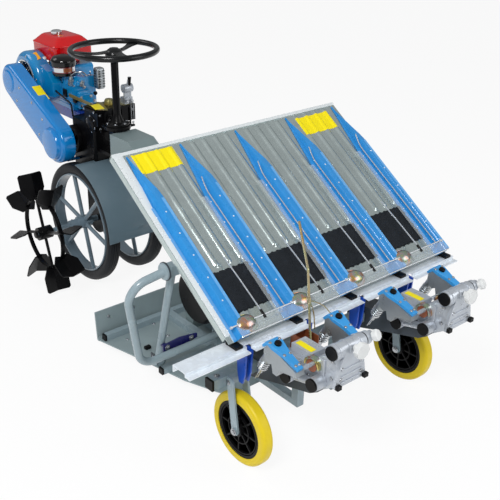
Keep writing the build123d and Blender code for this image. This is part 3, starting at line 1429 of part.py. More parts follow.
def make_guide_plates():
    with BuildPart() as guide_plates:
        for y in divider_lines()[1:]:
            right = y - DIVIDER_W / 2 - SEAT_GAP
            origin = tray_plane().from_local_coords((PLATE_U, right - PLATE_R, SEAT_GAP))
            with BuildSketch(Plane(origin=origin, x_dir=(0, 1, 0), z_dir=tray_plane().x_dir)):
                with BuildLine():
                    outer = CenterArc((0, 0), PLATE_R, 0, 110)
                    inner = CenterArc((0, 0), PLATE_R - PLATE_T, 0, 110)
                    Line(outer @ 0, inner @ 0)
                    Line(outer @ 1, inner @ 1)
                make_face()
            extrude(amount=PLATE_LENGTH)
    guide_plates.part.label = "guide_plates"
    export_step(guide_plates.part, "parts/guide_plates.step")


def make_slider_blocks():
    low = RAIL_Z + SLIDE_GAP
    with BuildPart() as slider_blocks:
        for y in divider_lines():
            with BuildSketch(side_plane(y)):
                with BuildLine():
                    Polyline(
                        (FOOT_X - BLOCK_OUT, low),
                        (FOOT_X + BLOCK_IN, low),
                        (FOOT_X + BLOCK_IN, under_tray(FOOT_X + BLOCK_IN) - SEAT_GAP),
                        (FOOT_X, under_tray(FOOT_X) - SEAT_GAP),
                        (FOOT_X - BLOCK_OUT, under_tray(FOOT_X) - SEAT_GAP),
                        close=True,
                    )
                make_face()
            extrude(amount=BLOCK_W / 2, both=True)
    slider_blocks.part.label = "slider_blocks"
    export_step(slider_blocks.part, "parts/slider_blocks.step")


make_wheel_rims()
make_wheel_tyres()
make_paddy_wheel()
make_gearbox()
make_steering_column()
make_steering_wheel()
make_fender()
make_lever_bracket()
make_engine_base()
make_engine_block()
make_fan_cowl()
make_fan_screen()
make_fuel_tank()
make_air_cleaner()
make_muffler()
make_belt_guard()
make_clutch_pulley()
make_main_beam()
make_steering_head()
make_float_board()
make_frame_tubes()
make_guard_loops()
make_lever_links()
make_end_caps()
make_seat_frame()
make_seat()
make_drive_case()
make_rail()
make_rail_legs()
make_planting_cases()
make_case_castings()
make_filler_knobs()
make_planting_arms()
make_arm_covers()
make_arm_cranks()
make_planting_needles()
make_arm_caps()
make_crank_guards()
make_clutch_bracket()
make_clutch_lever()
make_rear_forks()
for side_name, wheel_y in (("left", REAR_WHEEL_Y), ("right", -REAR_WHEEL_Y)):
    make_rear_tyre(f"rear_tyre_{side_name}", wheel_y)
    make_rear_core(f"rear_core_{side_name}", wheel_y)
make_tray_sheet()
make_tray_dividers()
make_feed_belts()
make_hold_down_rods()
make_guide_plates()
make_slider_blocks()
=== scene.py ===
"""Ride-on rice transplanter: finishes, fine parts and studio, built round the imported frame."""

from __future__ import annotations

import logging
import math
from dataclasses import dataclass
from enum import Enum

import bmesh
import bpy
import numpy as np
from mathutils import Matrix, Vector

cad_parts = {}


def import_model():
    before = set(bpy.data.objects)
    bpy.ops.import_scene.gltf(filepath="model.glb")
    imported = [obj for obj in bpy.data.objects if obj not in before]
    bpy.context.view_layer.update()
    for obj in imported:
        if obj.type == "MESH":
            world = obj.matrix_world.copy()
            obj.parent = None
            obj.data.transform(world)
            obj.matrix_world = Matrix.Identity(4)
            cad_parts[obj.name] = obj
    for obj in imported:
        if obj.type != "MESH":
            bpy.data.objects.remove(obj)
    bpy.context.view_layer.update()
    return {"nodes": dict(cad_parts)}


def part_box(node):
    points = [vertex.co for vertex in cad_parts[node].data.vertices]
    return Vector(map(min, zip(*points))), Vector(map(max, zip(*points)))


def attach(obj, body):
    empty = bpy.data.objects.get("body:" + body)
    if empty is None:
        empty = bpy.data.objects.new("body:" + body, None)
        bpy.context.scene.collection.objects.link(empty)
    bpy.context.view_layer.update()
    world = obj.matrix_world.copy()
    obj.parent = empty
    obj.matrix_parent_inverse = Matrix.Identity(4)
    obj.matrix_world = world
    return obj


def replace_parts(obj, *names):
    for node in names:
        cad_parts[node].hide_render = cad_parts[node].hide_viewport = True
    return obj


logging.basicConfig(level=logging.INFO, format="%(name)s: %(message)s")
LOG = logging.getLogger("transplanter")
Array = np.ndarray
Point = tuple[float, float, float]
X, Y, Z = (1, 0, 0), (0, 1, 0), (0, 0, 1)


class Side(Enum):
    """The machine's two sides, as the sign of Y."""

    LEFT = 1
    RIGHT = -1


class Film(Enum):
    """Thin surface effects that a metal finish can carry."""

    NONE = "none"
    SPANGLE = "spangle"
    RAINBOW = "rainbow"


# ---------------------------------------------------------------- geometry
def unit(vectors: Array) -> Array:
    """Each vector along the last axis, divided by its own length."""
    return vectors / np.maximum(np.linalg.norm(vectors, axis=-1, keepdims=True), 1e-12)


def tint(red: float, green: float, blue: float) -> Point:
    """A colour as seen on a screen, 0 to 255, turned into linear light."""
    c = np.array([red, green, blue]) / 255
    high = ((c + 0.055) / 1.055) ** 2.4
    return tuple(float(v) for v in np.where(c <= 0.04045, c / 12.92, high))


def rounded(corners: Array, radius: float, steps: int = 6, closed: bool = True) -> Array:
    """A run of corners with each one rounded.

    A corner p becomes (1-t)^2 a + 2t(1-t) p + t^2 b, where a and b lie `radius` before and after it.

    Args:
        corners: Corner points, two or three coordinates each.
        radius: How far from a corner the rounding starts.
        steps: Points on each rounded corner.
        closed: Whether the run joins up with its start.

    Returns:
        The rounded points in order.
    """
    p = np.asarray(corners, float)
    before = np.roll(p, 1, axis=0) - p
    after = np.roll(p, -1, axis=0) - p
    reach_b = np.minimum(radius, 0.49 * np.linalg.norm(before, axis=1, keepdims=True))
    reach_a = np.minimum(radius, 0.49 * np.linalg.norm(after, axis=1, keepdims=True))
    a = (p + unit(before) * reach_b)[:, None]
    b = (p + unit(after) * reach_a)[:, None]
    t = np.linspace(0, 1, steps)[None, :, None]
    curve = (1 - t) ** 2 * a + 2 * t * (1 - t) * p[:, None] + t**2 * b
    if closed:
        return curve.reshape(-1, p.shape[1])
    return np.vstack([p[:1], curve[1:-1].reshape(-1, p.shape[1]), p[-1:]])


def bent(corners: Array, radius: float) -> Array:
    """An open run of corners with its inner ones rounded."""
    return rounded(corners, radius, closed=False)


def oblong(width: float, height: float, radius: float, steps: int = 5) -> Array:
    """Outline of a rectangle with rounded corners, centred on the origin."""
    w, h = width / 2, height / 2
    return rounded([(-w, -h), (w, -h), (w, h), (-w, h)], radius, steps)


def ring(radius: float, count: int = 32, start: float = 0.0) -> Array:
    """Outline of a circle: r cos a, r sin a."""
    a = np.linspace(0, 2 * math.pi, count, endpoint=False) + start
    return radius * np.stack([np.cos(a), np.sin(a)], -1)


def lifted(outline: Array, height: float) -> Array:
    """A flat outline carried up to a height."""
    return np.column_stack([outline, np.full(len(outline), height)])


def around(centre: Point, radius: float, count: int, start: float = 0.0) -> Array:
    """Places on an upright circle, along X and Z, about a centre."""
    turn = ring(radius, count, start)
    return np.asarray(centre, float) + np.stack([turn[:, 0], np.zeros(count), turn[:, 1]], -1)


def basis(axis: Point) -> tuple[Array, Array, Array]:
    """Two directions square to an axis, and the axis itself."""
    n = unit(np.asarray(axis, float))
    other = np.eye(3)[int(np.argmin(np.abs(n)))]
    x = unit(np.cross(other, n))
    return x, np.cross(n, x), n


class Surface:
    """Collects grids of points and turns them into one mesh object."""

    def __init__(self) -> None:
        """Starts with no points."""
        self._points: list[Array] = []
        self._quads: list[Array] = []
        self._rings: list[Array] = []
        self._total = 0

    def grid(self, points: Array, wrap_u: bool = False, wrap_v: bool = False, cap: bool = False) -> Surface:
        """Adds a grid of points as four-sided faces.

        Args:
            points: Array of rows by columns by three.
            wrap_u: Whether the last row joins the first.
            wrap_v: Whether the last column joins the first.
            cap: Whether the first and last rows are closed with a face.

        Returns:
            This surface.
        """
        rows, columns, _ = points.shape
        index = np.arange(rows * columns).reshape(rows, columns) + self._total
        if cap:
            self._rings += [index[0], index[-1]]
        if wrap_u:
            index = np.vstack([index, index[:1]])
        if wrap_v:
            index = np.hstack([index, index[:, :1]])
        corners = [index[:-1, :-1], index[:-1, 1:], index[1:, 1:], index[1:, :-1]]
        self._quads.append(np.stack(corners, -1).reshape(-1, 4))
        self._points.append(points.reshape(-1, 3))
        self._total += rows * columns
        return self

    def slab(self, top: Array, under: Array) -> Surface:
        """Adds two matching grids and the walls between their edges."""
        self.grid(top).grid(under)
        for cut in (np.s_[0], np.s_[-1], np.s_[:, 0], np.s_[:, -1]):
            self.grid(np.stack([top[cut], under[cut]]))
        return self

    def sweep(self, profile: Array, path: Array, closed: bool = False, rise: Point | None = None) -> Surface:
        """Carries a closed profile along a path: path + side * x + rise * y.

        Args:
            profile: Outline, either one for the whole path or one per path point.
            path: Points of the path.
            closed: Whether the path joins up.
            rise: Direction that the profile's y keeps nearest to.

        Returns:
            This surface.
        """
        p = np.asarray(path, float)
        ahead = unit(np.roll(p, -1, 0) - np.roll(p, 1, 0) if closed else np.gradient(p, axis=0))
        keep = np.eye(3)[int(np.argmin(np.abs(ahead).max(0)))] if rise is None else np.asarray(rise, float)
        side = unit(np.cross(ahead, keep))
        up = np.cross(side, ahead)
        outline = np.broadcast_to(profile, (len(p), *np.asarray(profile).shape[-2:]))
        points = p[:, None] + side[:, None] * outline[..., :1] + up[:, None] * outline[..., 1:]
        return self.grid(points, wrap_u=closed, wrap_v=True, cap=not closed)

    def tube(self, path: Array, radius: float | Array, sides: int = 12, closed: bool = False) -> Surface:
        """Carries a circle along a path; the radius may change from point to point."""
        r = np.broadcast_to(np.asarray(radius, float), (len(path),))
        return self.sweep(ring(1.0, sides)[None] * r[:, None, None], path, closed)

    def lathe(self, profile: Array, centre: Point, axis: Point, sides: int = 32,
              start: float = 0.0) -> Surface:
        """Turns (radius, height) pairs about an axis: centre + axis h + r (cos a x + sin a y)."""
        p = np.asarray(profile, float)
        x, y, n = basis(axis)
        circle = ring(1.0, sides, start)
        spokes = circle[:, :1] * x + circle[:, 1:] * y
        points = np.asarray(centre, float) + p[:, None, 1:] * n + p[:, None, :1] * spokes[None]
        return self.grid(points, wrap_v=True, cap=True)

    def turned(self, profile: list, centre: Point, axis: Point, sides: int = 32) -> Surface:
        """Turns a solid whose profile runs from its top down to a flat foot at height nought."""
        return self.lathe([*profile, (0, 0)], centre, axis, sides)

    def plate(self, outline: Array, origin: Point, x: Point, y: Point, depth: float,
              edge: float = 0.001) -> Surface:
        """A plate with rounded rims: the outline is drawn in by edge (1 - cos a) as it nears each face.

        Args:
            outline: Points in the plate's own plane.
            origin: Where the outline's origin lies.
            x: Direction of the outline's first coordinate.
            y: Direction of its second.
            depth: Thickness, towards x cross y.
            edge: Radius of the rims.

        Returns:
            This surface.
        """
        o = np.asarray(outline, float)
        along = np.roll(o, -1, 0) - np.roll(o, 1, 0)
        turn = np.sum(o[:, 0] * np.roll(o[:, 1], -1) - o[:, 1] * np.roll(o[:, 0], -1))
        inward = unit(np.stack([-along[:, 1], along[:, 0]], -1)) * np.sign(turn)
        edge = min(edge, abs(depth) / 2)
        a = np.linspace(0, math.pi / 2, 4)
        inset = np.concatenate([edge * (1 - np.sin(a)), edge * (1 - np.sin(a[::-1]))])
        height = np.concatenate([edge * (1 - np.cos(a)), abs(depth) - edge * (1 - np.cos(a[::-1]))])
        flat = o[None] + inward[None] * inset[:, None, None]
        ax, ay = unit(np.asarray(x, float)), unit(np.asarray(y, float))
        n = np.cross(ax, ay) * np.sign(depth)
        lift = height[:, None, None] * n
        points = np.asarray(origin, float) + flat[..., :1] * ax + flat[..., 1:] * ay + lift
        return self.grid(points, wrap_v=True, cap=True)

    def label(self, width: float, height: float, spot: Point, x: Point, y: Point,
              depth: float = 0.001) -> Surface:
        """A thin bare plate, centred on a spot."""
        return self.plate(oblong(width, height, 0.002, 3), spot, x, y, depth, 0.0004)

    def block(self, low: Point, high: Point, edge: float = 0.002, corner: float = 0.004) -> Surface:
        """A block between two corners, with its upright corners and its rims rounded."""
        lo, hi = np.minimum(low, high), np.maximum(low, high)
        size, mid = hi - lo, (lo + hi) / 2
        return self.plate(oblong(size[0], size[1], corner), (mid[0], mid[1], lo[2]), X, Y, size[2], edge)

    def bolts(self, places: Array, axis: Point, size: float = 0.008) -> Surface:
        """Hexagon heads on washers, standing off each place along the axis."""
        r, h = size, size * 0.62
        head = [(0, h), (r * 0.78, h), (r, h * 0.82), (r, 0.0012), (0, 0.0012)]
        washer = [(0, 0.0016), (r * 1.35, 0.0016), (r * 1.45, 0.0008), (r * 1.45, 0), (0, 0)]
        for place in np.atleast_2d(np.asarray(places, float)):
            self.lathe(washer, place, axis, 16).lathe(head, place, axis, 6, 0.3)
        return self

    def domes(self, places: Array, axis: Point, size: float = 0.004) -> Surface:
        """Round rivet heads: radius r cos a and height 0.6 r sin a."""
        a = np.linspace(0, math.pi / 2, 5)
        profile = np.stack([size * np.cos(a), size * 0.6 * np.sin(a)], -1)
        for place in np.atleast_2d(np.asarray(places, float)):
            self.lathe(profile, place, axis, 10)
        return self

    def build(self, name: str, body: str, finish: Finish, smooth: float = 40.0) -> bpy.types.Object:
        """Makes the object, closes its seams and lets it ride on a body.

        Args:
            name: Name of the piece.
            body: Body that carries it.
            finish: Its surface.
            smooth: Edges sharper than this stay crisp, in degrees.

        Returns:
            The new object.
        """
        mesh = bpy.data.meshes.new(name)
        faces = np.vstack(self._quads).tolist() + [r.tolist() for r in self._rings]
        mesh.from_pydata(np.vstack(self._points).tolist(), [], faces)
        work = bmesh.new()
        work.from_mesh(mesh)
        bmesh.ops.remove_doubles(work, verts=work.verts, dist=2e-6)
        bmesh.ops.recalc_face_normals(work, faces=work.faces)
        work.to_mesh(mesh)
        work.free()
        mesh.shade_smooth()
        mesh.set_sharp_from_angle(angle=math.radians(smooth))
        mesh.materials.append(finish.material())
        piece = bpy.data.objects.new(name, mesh)
        bpy.context.scene.collection.objects.link(piece)
        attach(piece, body)
        LOG.info("%s: %d faces", name, len(mesh.polygons))
        return piece


# ---------------------------------------------------------------- finishes
class Wiring:
    """Adds and joins the nodes of one shader tree."""

    def __init__(self, tree: bpy.types.NodeTree) -> None:
        """Keeps the tree that nodes go into."""
        self.tree = tree

    def feed(self, node: bpy.types.Node, inputs: dict) -> bpy.types.Node:
        """Gives a node's inputs, by name or number, a value or another node's output."""
        for key, value in inputs.items():
            if isinstance(value, bpy.types.NodeSocket):
                self.tree.links.new(value, node.inputs[key])
            else:
                node.inputs[key].default_value = value
        return node

    def node(self, kind: str, inputs: dict | None = None, **settings: object) -> bpy.types.Node:
        """Adds a node of Blender's type `kind` with its own settings and its inputs."""
        made = self.tree.nodes.new(kind)
        for key, value in settings.items():
            setattr(made, key, value)
        return self.feed(made, inputs or {})

    def effect(self, name: str, inputs: dict) -> bpy.types.bpy_prop_collection:
        """The outputs of a shared group that is given these inputs."""
        return self.node("ShaderNodeGroup", inputs, node_tree=Effects.get(name)).outputs

    def where(self) -> bpy.types.NodeSocket:
        """The place on the object itself."""
        return self.node("ShaderNodeTexCoord").outputs["Object"]

    def noise(self, where: bpy.types.NodeSocket, scale: object, detail: float = 3.0,
              rough: float = 0.55) -> object:
        """Soft noise between 0 and 1 at a place."""
        inputs = {"Vector": where, "Scale": scale, "Detail": detail, "Roughness": rough}
        return self.node("ShaderNodeTexNoise", inputs).outputs["Fac"]

    def span(self, value: object, low: float, high: float, to_low: float = 0.0,
             to_high: float = 1.0) -> object:
        """Maps a range of values to another one and holds it there."""
        inputs = {"Value": value, "From Min": low, "From Max": high, "To Min": to_low, "To Max": to_high}
        return self.node("ShaderNodeMapRange", inputs).outputs["Result"]

    def maths(self, operation: str, a: object, b: object) -> object:
        """One sum of two values."""
        return self.node("ShaderNodeMath", {0: a, 1: b}, operation=operation).outputs[0]

    def swing(self, value: object, share: object) -> object:
        """How far a value lies from one half, times a share."""
        return self.maths("MULTIPLY", self.maths("SUBTRACT", value, 0.5), share)

    def shade(self, colour: object, change: object) -> object:
        """A colour brightened by one plus a change."""
        value = self.maths("ADD", 1.0, change)
        return self.node("ShaderNodeHueSaturation", {"Color": colour, "Value": value}).outputs[0]

    def blend(self, share: object, a: object, b: object) -> object:
        """Mixes two colours by a share."""
        return self.node("ShaderNodeMix", {0: share, 6: a, 7: b}, data_type="RGBA").outputs[2]


def group(name: str, inputs: dict[str, object], *outputs: str) -> tuple:
    """Starts a node group; an input with four numbers, and an output called Colour, is a colour.

    Args:
        name: The group's name.
        inputs: Input name to its default.
        outputs: Names of the outputs.

    Returns:
        The group's wiring and its inputs by name.
    """
    tree = bpy.data.node_groups.new(name, "ShaderNodeTree")
    for key, default in inputs.items():
        kind = "NodeSocketColor" if isinstance(default, tuple) else "NodeSocketFloat"
        tree.interface.new_socket(name=key, in_out="INPUT", socket_type=kind).default_value = default
    for key in outputs:
        kind = "NodeSocketColor" if key == "Colour" else "NodeSocketFloat"
        tree.interface.new_socket(name=key, in_out="OUTPUT", socket_type=kind)
    wiring = Wiring(tree)
    return wiring, wiring.node("NodeGroupInput").outputs


class Effects:
    """The shader groups that several finishes share, each built once."""

    _made: dict[str, bpy.types.NodeTree] = {}
    _grey = (0.5, 0.5, 0.5, 1)
    _dust = (0.5, 0.46, 0.38, 1)
    _bared = (0.62, 0.63, 0.64, 1)
    _oil = [(0.3, (196, 168, 96)), (0.42, (206, 150, 140)), (0.5, (178, 176, 190)), (0.58, (146, 184, 170)),
            (0.7, (206, 190, 120))]

    @classmethod
    def get(cls, name: str) -> bpy.types.NodeTree:
        """The group of that name, made on first use."""
        if name not in cls._made:
            wiring, outputs = getattr(cls, f"_{name}")()
            wiring.node("NodeGroupOutput", outputs)
            cls._made[name] = wiring.tree
        return cls._made[name]

    @classmethod
    def _wear(cls) -> tuple:
        """Uneven colour, settled dust on upper faces, fine scratches and a grain.

        The colour is brightened and darkened by slow noise; dust is the upward normal times noise;
        scratches are noise squeezed along one direction and cut at a high level.
        """
        inputs = {"Colour": cls._grey, "Vary": 0.1, "Scale": 8.0, "Dust": 0.1, "Scratch": 0.1,
                  "Grain": 300.0}
        w, given = group("wear", inputs, "Colour", "Roughness", "Height")
        where = w.where()
        slow = w.noise(where, given["Scale"], 5.0, 0.6)
        base = w.shade(given["Colour"], w.maths("MULTIPLY", w.swing(slow, given["Vary"]), 3.0))
        normal = w.node("ShaderNodeNewGeometry").outputs["Normal"]
        up = w.node("ShaderNodeSeparateXYZ", {0: normal}).outputs["Z"]
        patch = w.span(w.noise(where, 14.0, 6.0, 0.7), 0.35, 0.75)
        settle = w.maths("MULTIPLY", w.span(up, -0.2, 0.9, 0.1, 0.4), patch)
        dust = w.maths("MULTIPLY", settle, given["Dust"])
        squeeze = {"Vector": where, "Rotation": (0.3, 0.5, 0.2), "Scale": (60.0, 9.0, 60.0)}
        thin = w.node("ShaderNodeMapping", squeeze).outputs[0]
        mark = w.maths("MULTIPLY", w.span(w.noise(thin, 3.0, 2.0, 0.5), 0.7, 0.76, 0.0, 0.8),
                       given["Scratch"])
        return w, {
            "Colour": w.blend(mark, w.blend(dust, base, cls._dust), cls._bared),
            "Roughness": w.maths("ADD", w.maths("MULTIPLY", dust, 0.5), w.swing(slow, 0.3)),
            "Height": w.noise(where, given["Grain"], 3.0, 0.6),
        }

    @classmethod
    def _spangle(cls) -> tuple:
        """Zinc crystals: each cell of a Voronoi pattern is a little lighter or darker than the next."""
        w, given = group("spangle", {"Colour": cls._grey, "Scale": 60.0, "Strength": 0.2}, "Colour",
                         "Roughness")
        cell = w.node("ShaderNodeTexVoronoi", {"Vector": w.where(), "Scale": given["Scale"]})
        level = w.node("ShaderNodeSeparateColor", {0: cell.outputs["Color"]}).outputs[0]
        change = w.swing(level, given["Strength"])
        return w, {"Colour": w.shade(given["Colour"], change), "Roughness": w.maths("MULTIPLY", change, 0.5)}

    @classmethod
    def _rainbow(cls) -> tuple:
        """Oil-film colours: slow noise picks a hue from pale gold through rose to green and blue."""
        w, given = group("rainbow", {"Colour": cls._grey, "Scale": 6.0, "Strength": 0.3}, "Colour")
        ramp = w.node("ShaderNodeValToRGB", {0: w.noise(w.where(), given["Scale"], 2.5, 0.5)})
        elements = ramp.color_ramp.elements
        for spot, _ in cls._oil[2:]:
            elements.new(spot)
        for element, (spot, colour) in zip(elements, cls._oil):
            element.position, element.color = spot, (*tint(*colour), 1)
        return w, {"Colour": w.blend(given["Strength"], given["Colour"], ramp.outputs[0])}

    @classmethod
    def _pimple(cls) -> tuple:
        """Raised dots in rows, as on grippy rubber: one less the distance to the nearest cell centre."""
        w, given = group("pimple", {"Scale": 200.0}, "Height")
        inputs = {"Vector": w.where(), "Scale": given["Scale"], "Randomness": 0.6}
        gap = w.node("ShaderNodeTexVoronoi", inputs).outputs["Distance"]
        return w, {"Height": w.span(gap, 0.1, 0.6, 1.0, 0.0)}


@dataclass(frozen=True)
class Finish:
    """One surface of the machine and how it is worn; the colour is as seen on a screen, 0 to 255."""

    name: str
    colour: Point
    roughness: float = 0.4
    metallic: float = 0.0
    coat: float = 0.0
    gloss: float = 0.3
    vary: float = 0.08
    scale: float = 8.0
    dust: float = 0.08
    scratch: float = 0.06
    grain: float = 260.0
    bump: float = 0.05
    film: Film = Film.NONE
    film_scale: float = 60.0
    film_strength: float = 0.25
    pimple: float = 0.0
    alpha: float = 1.0
    slot: str = ""

    def material(self) -> bpy.types.Material:
        """Builds the material once and returns it."""
        label = f"{self.name}_finish"
        found = bpy.data.materials.get(label)
        if found is not None:
            return found
        made = bpy.data.materials.new(label)
        made.use_nodes = True
        colour: object = (*tint(*self.colour), 1)
        made.diffuse_color = colour
        w = Wiring(made.node_tree)
        if self.film is not Film.NONE:
            inputs = {"Colour": colour, "Scale": self.film_scale, "Strength": self.film_strength}
            colour = w.effect(self.film.value, inputs)["Colour"]
        wear = w.effect("wear", {"Colour": colour, "Vary": self.vary, "Scale": self.scale, "Dust": self.dust,
                                 "Scratch": self.scratch, "Grain": self.grain})
        height: object = wear["Height"]
        if self.pimple:
            dots = w.effect("pimple", {"Scale": self.pimple})["Height"]
            height = w.maths("ADD", w.maths("MULTIPLY", height, 0.4), dots)
        bump = w.node("ShaderNodeBump", {"Height": height, "Strength": self.bump, "Distance": 0.002})
        w.feed(made.node_tree.nodes["Principled BSDF"], {
            "Base Color": wear["Colour"],
            "Roughness": w.span(w.maths("ADD", wear["Roughness"], self.roughness), 0.04, 1.0, 0.04, 1.0),
            "Normal": bump.outputs[0],
            "Metallic": self.metallic,
            "Coat Weight": self.coat,
            "Coat Roughness": 0.08,
            "Specular IOR Level": self.gloss,
            "Alpha": self.alpha,
        })
        return made


CLEAN = {"dust": 0.01, "scratch": 0.0}
BARE = {"vary": 0.03, "dust": 0.0, "scratch": 0.0, "slot": "zinc_gold"}
BLACK_RUBBER = Finish("black_rubber", (26, 29, 33), 0.5, gloss=0.15, vary=0.12, bump=0.25, **CLEAN)
BEAM_PAINT = Finish("beam_paint", (118, 134, 136), 0.34, coat=0.25, vary=0.05, dust=0.05, slot="grey_paint")
FENDER_PAINT = Finish("fender_paint", (96, 116, 127), 0.32, coat=0.3, vary=0.05, dust=0.05,
                      slot="grey_paint")
FLOAT_PAINT = Finish("float_paint", (138, 154, 158), 0.36, coat=0.2, vary=0.12, dust=0.16, slot="grey_paint")
TUBE_PAINT = Finish("tube_paint", (146, 164, 172), 0.26, coat=0.4, vary=0.05, dust=0.05, slot="grey_paint")
RIM_PAINT = Finish("rim_paint", (104, 122, 134), 0.32, coat=0.35, vary=0.07, slot="dark_grey_paint")
CASTING_PAINT = Finish("casting_paint", (64, 71, 78), 0.42, gloss=0.25, vary=0.14, dust=0.05, bump=0.16,
                       slot="dark_grey_paint")
BLACK_PAINT = Finish("black_paint", (10, 10, 12), 0.3, coat=0.06, gloss=0.12, vary=0.2, bump=0.12, **CLEAN)
BLACK_PLASTIC = Finish("black_plastic", (11, 11, 13), 0.36, gloss=0.15, vary=0.1, bump=0.1, **CLEAN)
GLOSS_BLACK = Finish("gloss_black", (5, 5, 7), 0.14, coat=0.3, vary=0.05, bump=0.02, slot="black_plastic",
                     **CLEAN)
WHEEL_PLASTIC = Finish("wheel_plastic", (9, 12, 14), 0.26, coat=0.12, slot="black_plastic", **CLEAN)
GALVANISED = Finish("galvanised", (226, 233, 240), 0.3, 0.3, gloss=0.2, vary=0.06, film=Film.SPANGLE,
                    film_strength=0.1)
TRAY_METAL = Finish("tray_metal", (190, 202, 201), 0.2, 0.88, dust=0.04, scratch=0.05, bump=0.03,
                    film=Film.SPANGLE, film_scale=45.0, film_strength=0.06, slot="galvanised")
HEM_METAL = Finish("hem_metal", (230, 236, 238), 0.28, 0.3, vary=0.03, dust=0.02, scratch=0.0,
                   slot="galvanised")
ALUMINIUM = Finish("aluminium", (184, 190, 198), 0.3, 0.45, vary=0.12, scale=16.0, bump=0.22)
STEEL = Finish("steel", (176, 179, 183), 0.24, 0.9)
CHROME = Finish("chrome", (206, 209, 212), 0.12, 1.0, vary=0.05, scratch=0.0, slot="steel")
DULL_STEEL = Finish("dull_steel", (158, 164, 168), 0.32, 0.75, vary=0.14, scale=20.0, slot="steel")
ROD_SILVER = Finish("rod_silver", (206, 211, 215), 0.26, 0.55, vary=0.04, dust=0.02, scratch=0.0,
                    slot="steel")
ZINC_GOLD = Finish("zinc_gold", (168, 136, 62), 0.24, 0.85, vary=0.12, film=Film.RAINBOW, film_scale=34.0,
                   film_strength=0.75)
LEVER_ZINC = Finish("lever_zinc", (186, 170, 104), 0.26, 0.8, vary=0.14, film=Film.RAINBOW, film_scale=9.0,
                    film_strength=0.3, slot="zinc_gold")
OLIVE_ZINC = Finish("olive_zinc", (112, 98, 30), 0.34, 0.5, vary=0.14, film=Film.RAINBOW, film_scale=9.0,
                    film_strength=0.15, slot="zinc_gold")
COPPER_PAINT = Finish("copper_paint", (142, 78, 48), 0.32, 0.35, coat=0.3, vary=0.18)
BLUE_DIVIDER = Finish("blue_divider", (40, 138, 208), 0.26, coat=0.3, vary=0.07, scale=14.0, dust=0.03,
                      slot="blue_plastic")
# Lighter copy of the divider blue: painted highlight along the dividers' folded edges.
BLUE_HIGHLIGHT = Finish("blue_highlight", (98, 164, 220), 0.26, coat=0.4, vary=0.07, dust=0.03, slot="blue_plastic")
BLUE_COVER = Finish("blue_cover", (54, 148, 214), 0.3, coat=0.2, vary=0.1, dust=0.03, slot="blue_plastic")
BLUE_LEG = Finish("blue_leg", (20, 78, 186), 0.3, coat=0.3, slot="blue_plastic")
BLUE_GUARD = Finish("blue_guard", (0, 124, 198), 0.14, coat=0.6, vary=0.04, bump=0.02, slot="blue_paint",
                    **CLEAN)
TEAL_PAINT = Finish("teal_paint", (6, 130, 190), 0.18, coat=0.6, gloss=0.5, vary=0.12, dust=0.02,
                    scratch=0.02, bump=0.08)
NAVY_PAINT = Finish("navy_paint", (28, 30, 96), 0.3, coat=0.3, vary=0.1)
BASE_BLUE = Finish("base_blue", (18, 56, 150), 0.26, coat=0.5, vary=0.12, slot="navy_paint")
RED_PAINT = Finish("red_paint", (204, 2, 10), 0.14, coat=0.3, vary=0.04, dust=0.0, scratch=0.0, bump=0.02)
DARK_RED = Finish("dark_red", (104, 12, 24), 0.24, coat=0.5, slot="red_paint")
YELLOW_TYRE = Finish("yellow_tyre", (222, 196, 28), 0.38, vary=0.07, dust=0.05, bump=0.06,
                     slot="yellow_rubber")
BELT_RUBBER = Finish("belt_rubber", (34, 38, 43), 0.6, gloss=0.1, vary=0.3, scale=30.0, bump=1.0,
                     pimple=190.0, **CLEAN)
SEAT_VINYL = Finish("seat_vinyl", (26, 26, 29), 0.45, grain=420.0, bump=0.3)
WHITE_PLASTIC = Finish("white_plastic", (222, 224, 224), 0.36, vary=0.04)
CLEAR_FILM = Finish("clear_film", (220, 228, 232), 0.1, vary=0.05, dust=0.02, alpha=0.16,
                    slot="white_plastic")
YELLOW_PLATE = Finish("yellow_plate", (240, 222, 8), 0.34, **BARE)
ORANGE_PLATE = Finish("orange_plate", (232, 160, 24), 0.34, **BARE)

# The frame's own pieces, by the finish they wear.
FRAME_PIECES: dict[Finish, str] = {
    FLOAT_PAINT: "float_board",
    BEAM_PAINT: "main_beam",
    TUBE_PAINT: "frame_tubes guard_loops rear_forks",
    FENDER_PAINT: "fender",
    RIM_PAINT: "wheel_rims",
    CASTING_PAINT: "case_castings",
    NAVY_PAINT: "lever_links",
    BASE_BLUE: "engine_base",
    TEAL_PAINT: "engine_block fan_cowl",
    BLACK_PAINT: "seat_frame drive_case steering_head gearbox steering_column clutch_pulley paddy_wheel",
    BLACK_PLASTIC: "end_caps arm_caps rear_core_left rear_core_right slider_blocks",
    GALVANISED: "rail",
    BLUE_LEG: "rail_legs",
    BLUE_COVER: "arm_covers",
    ALUMINIUM: "planting_cases arm_cranks lever_bracket",
    DULL_STEEL: "planting_arms",
    STEEL: "planting_needles fan_screen",
    ZINC_GOLD: "crank_guards",
    COPPER_PAINT: "clutch_bracket",
    LEVER_ZINC: "clutch_lever",
    WHITE_PLASTIC: "filler_knobs",
    YELLOW_TYRE: "rear_tyre_left rear_tyre_right",
}


def dress_frame(nodes: dict[str, bpy.types.Object], bevel: float = 0.0012, weld: float = 0.00002) -> None:
    """Gives the frame's own pieces their finishes and softens their edges.

    Args:
        nodes: The frame's objects by name.
        bevel: Width of the softened edges.
        weld: Points nearer than this are joined.
    """
    for finish, names in FRAME_PIECES.items():
        for name in names.split():
            piece = nodes[name]
            piece.data.materials.clear()
            piece.data.materials.append(finish.material())
            piece.modifiers.new("seams", "WELD").merge_threshold = weld
            soft = piece.modifiers.new("edges", "BEVEL")
            soft.width, soft.segments = bevel, 2
            soft.limit_method, soft.angle_limit = "ANGLE", math.radians(38)
            soft.use_clamp_overlap = True
            LOG.info("%s dressed in %s", name, finish.name)


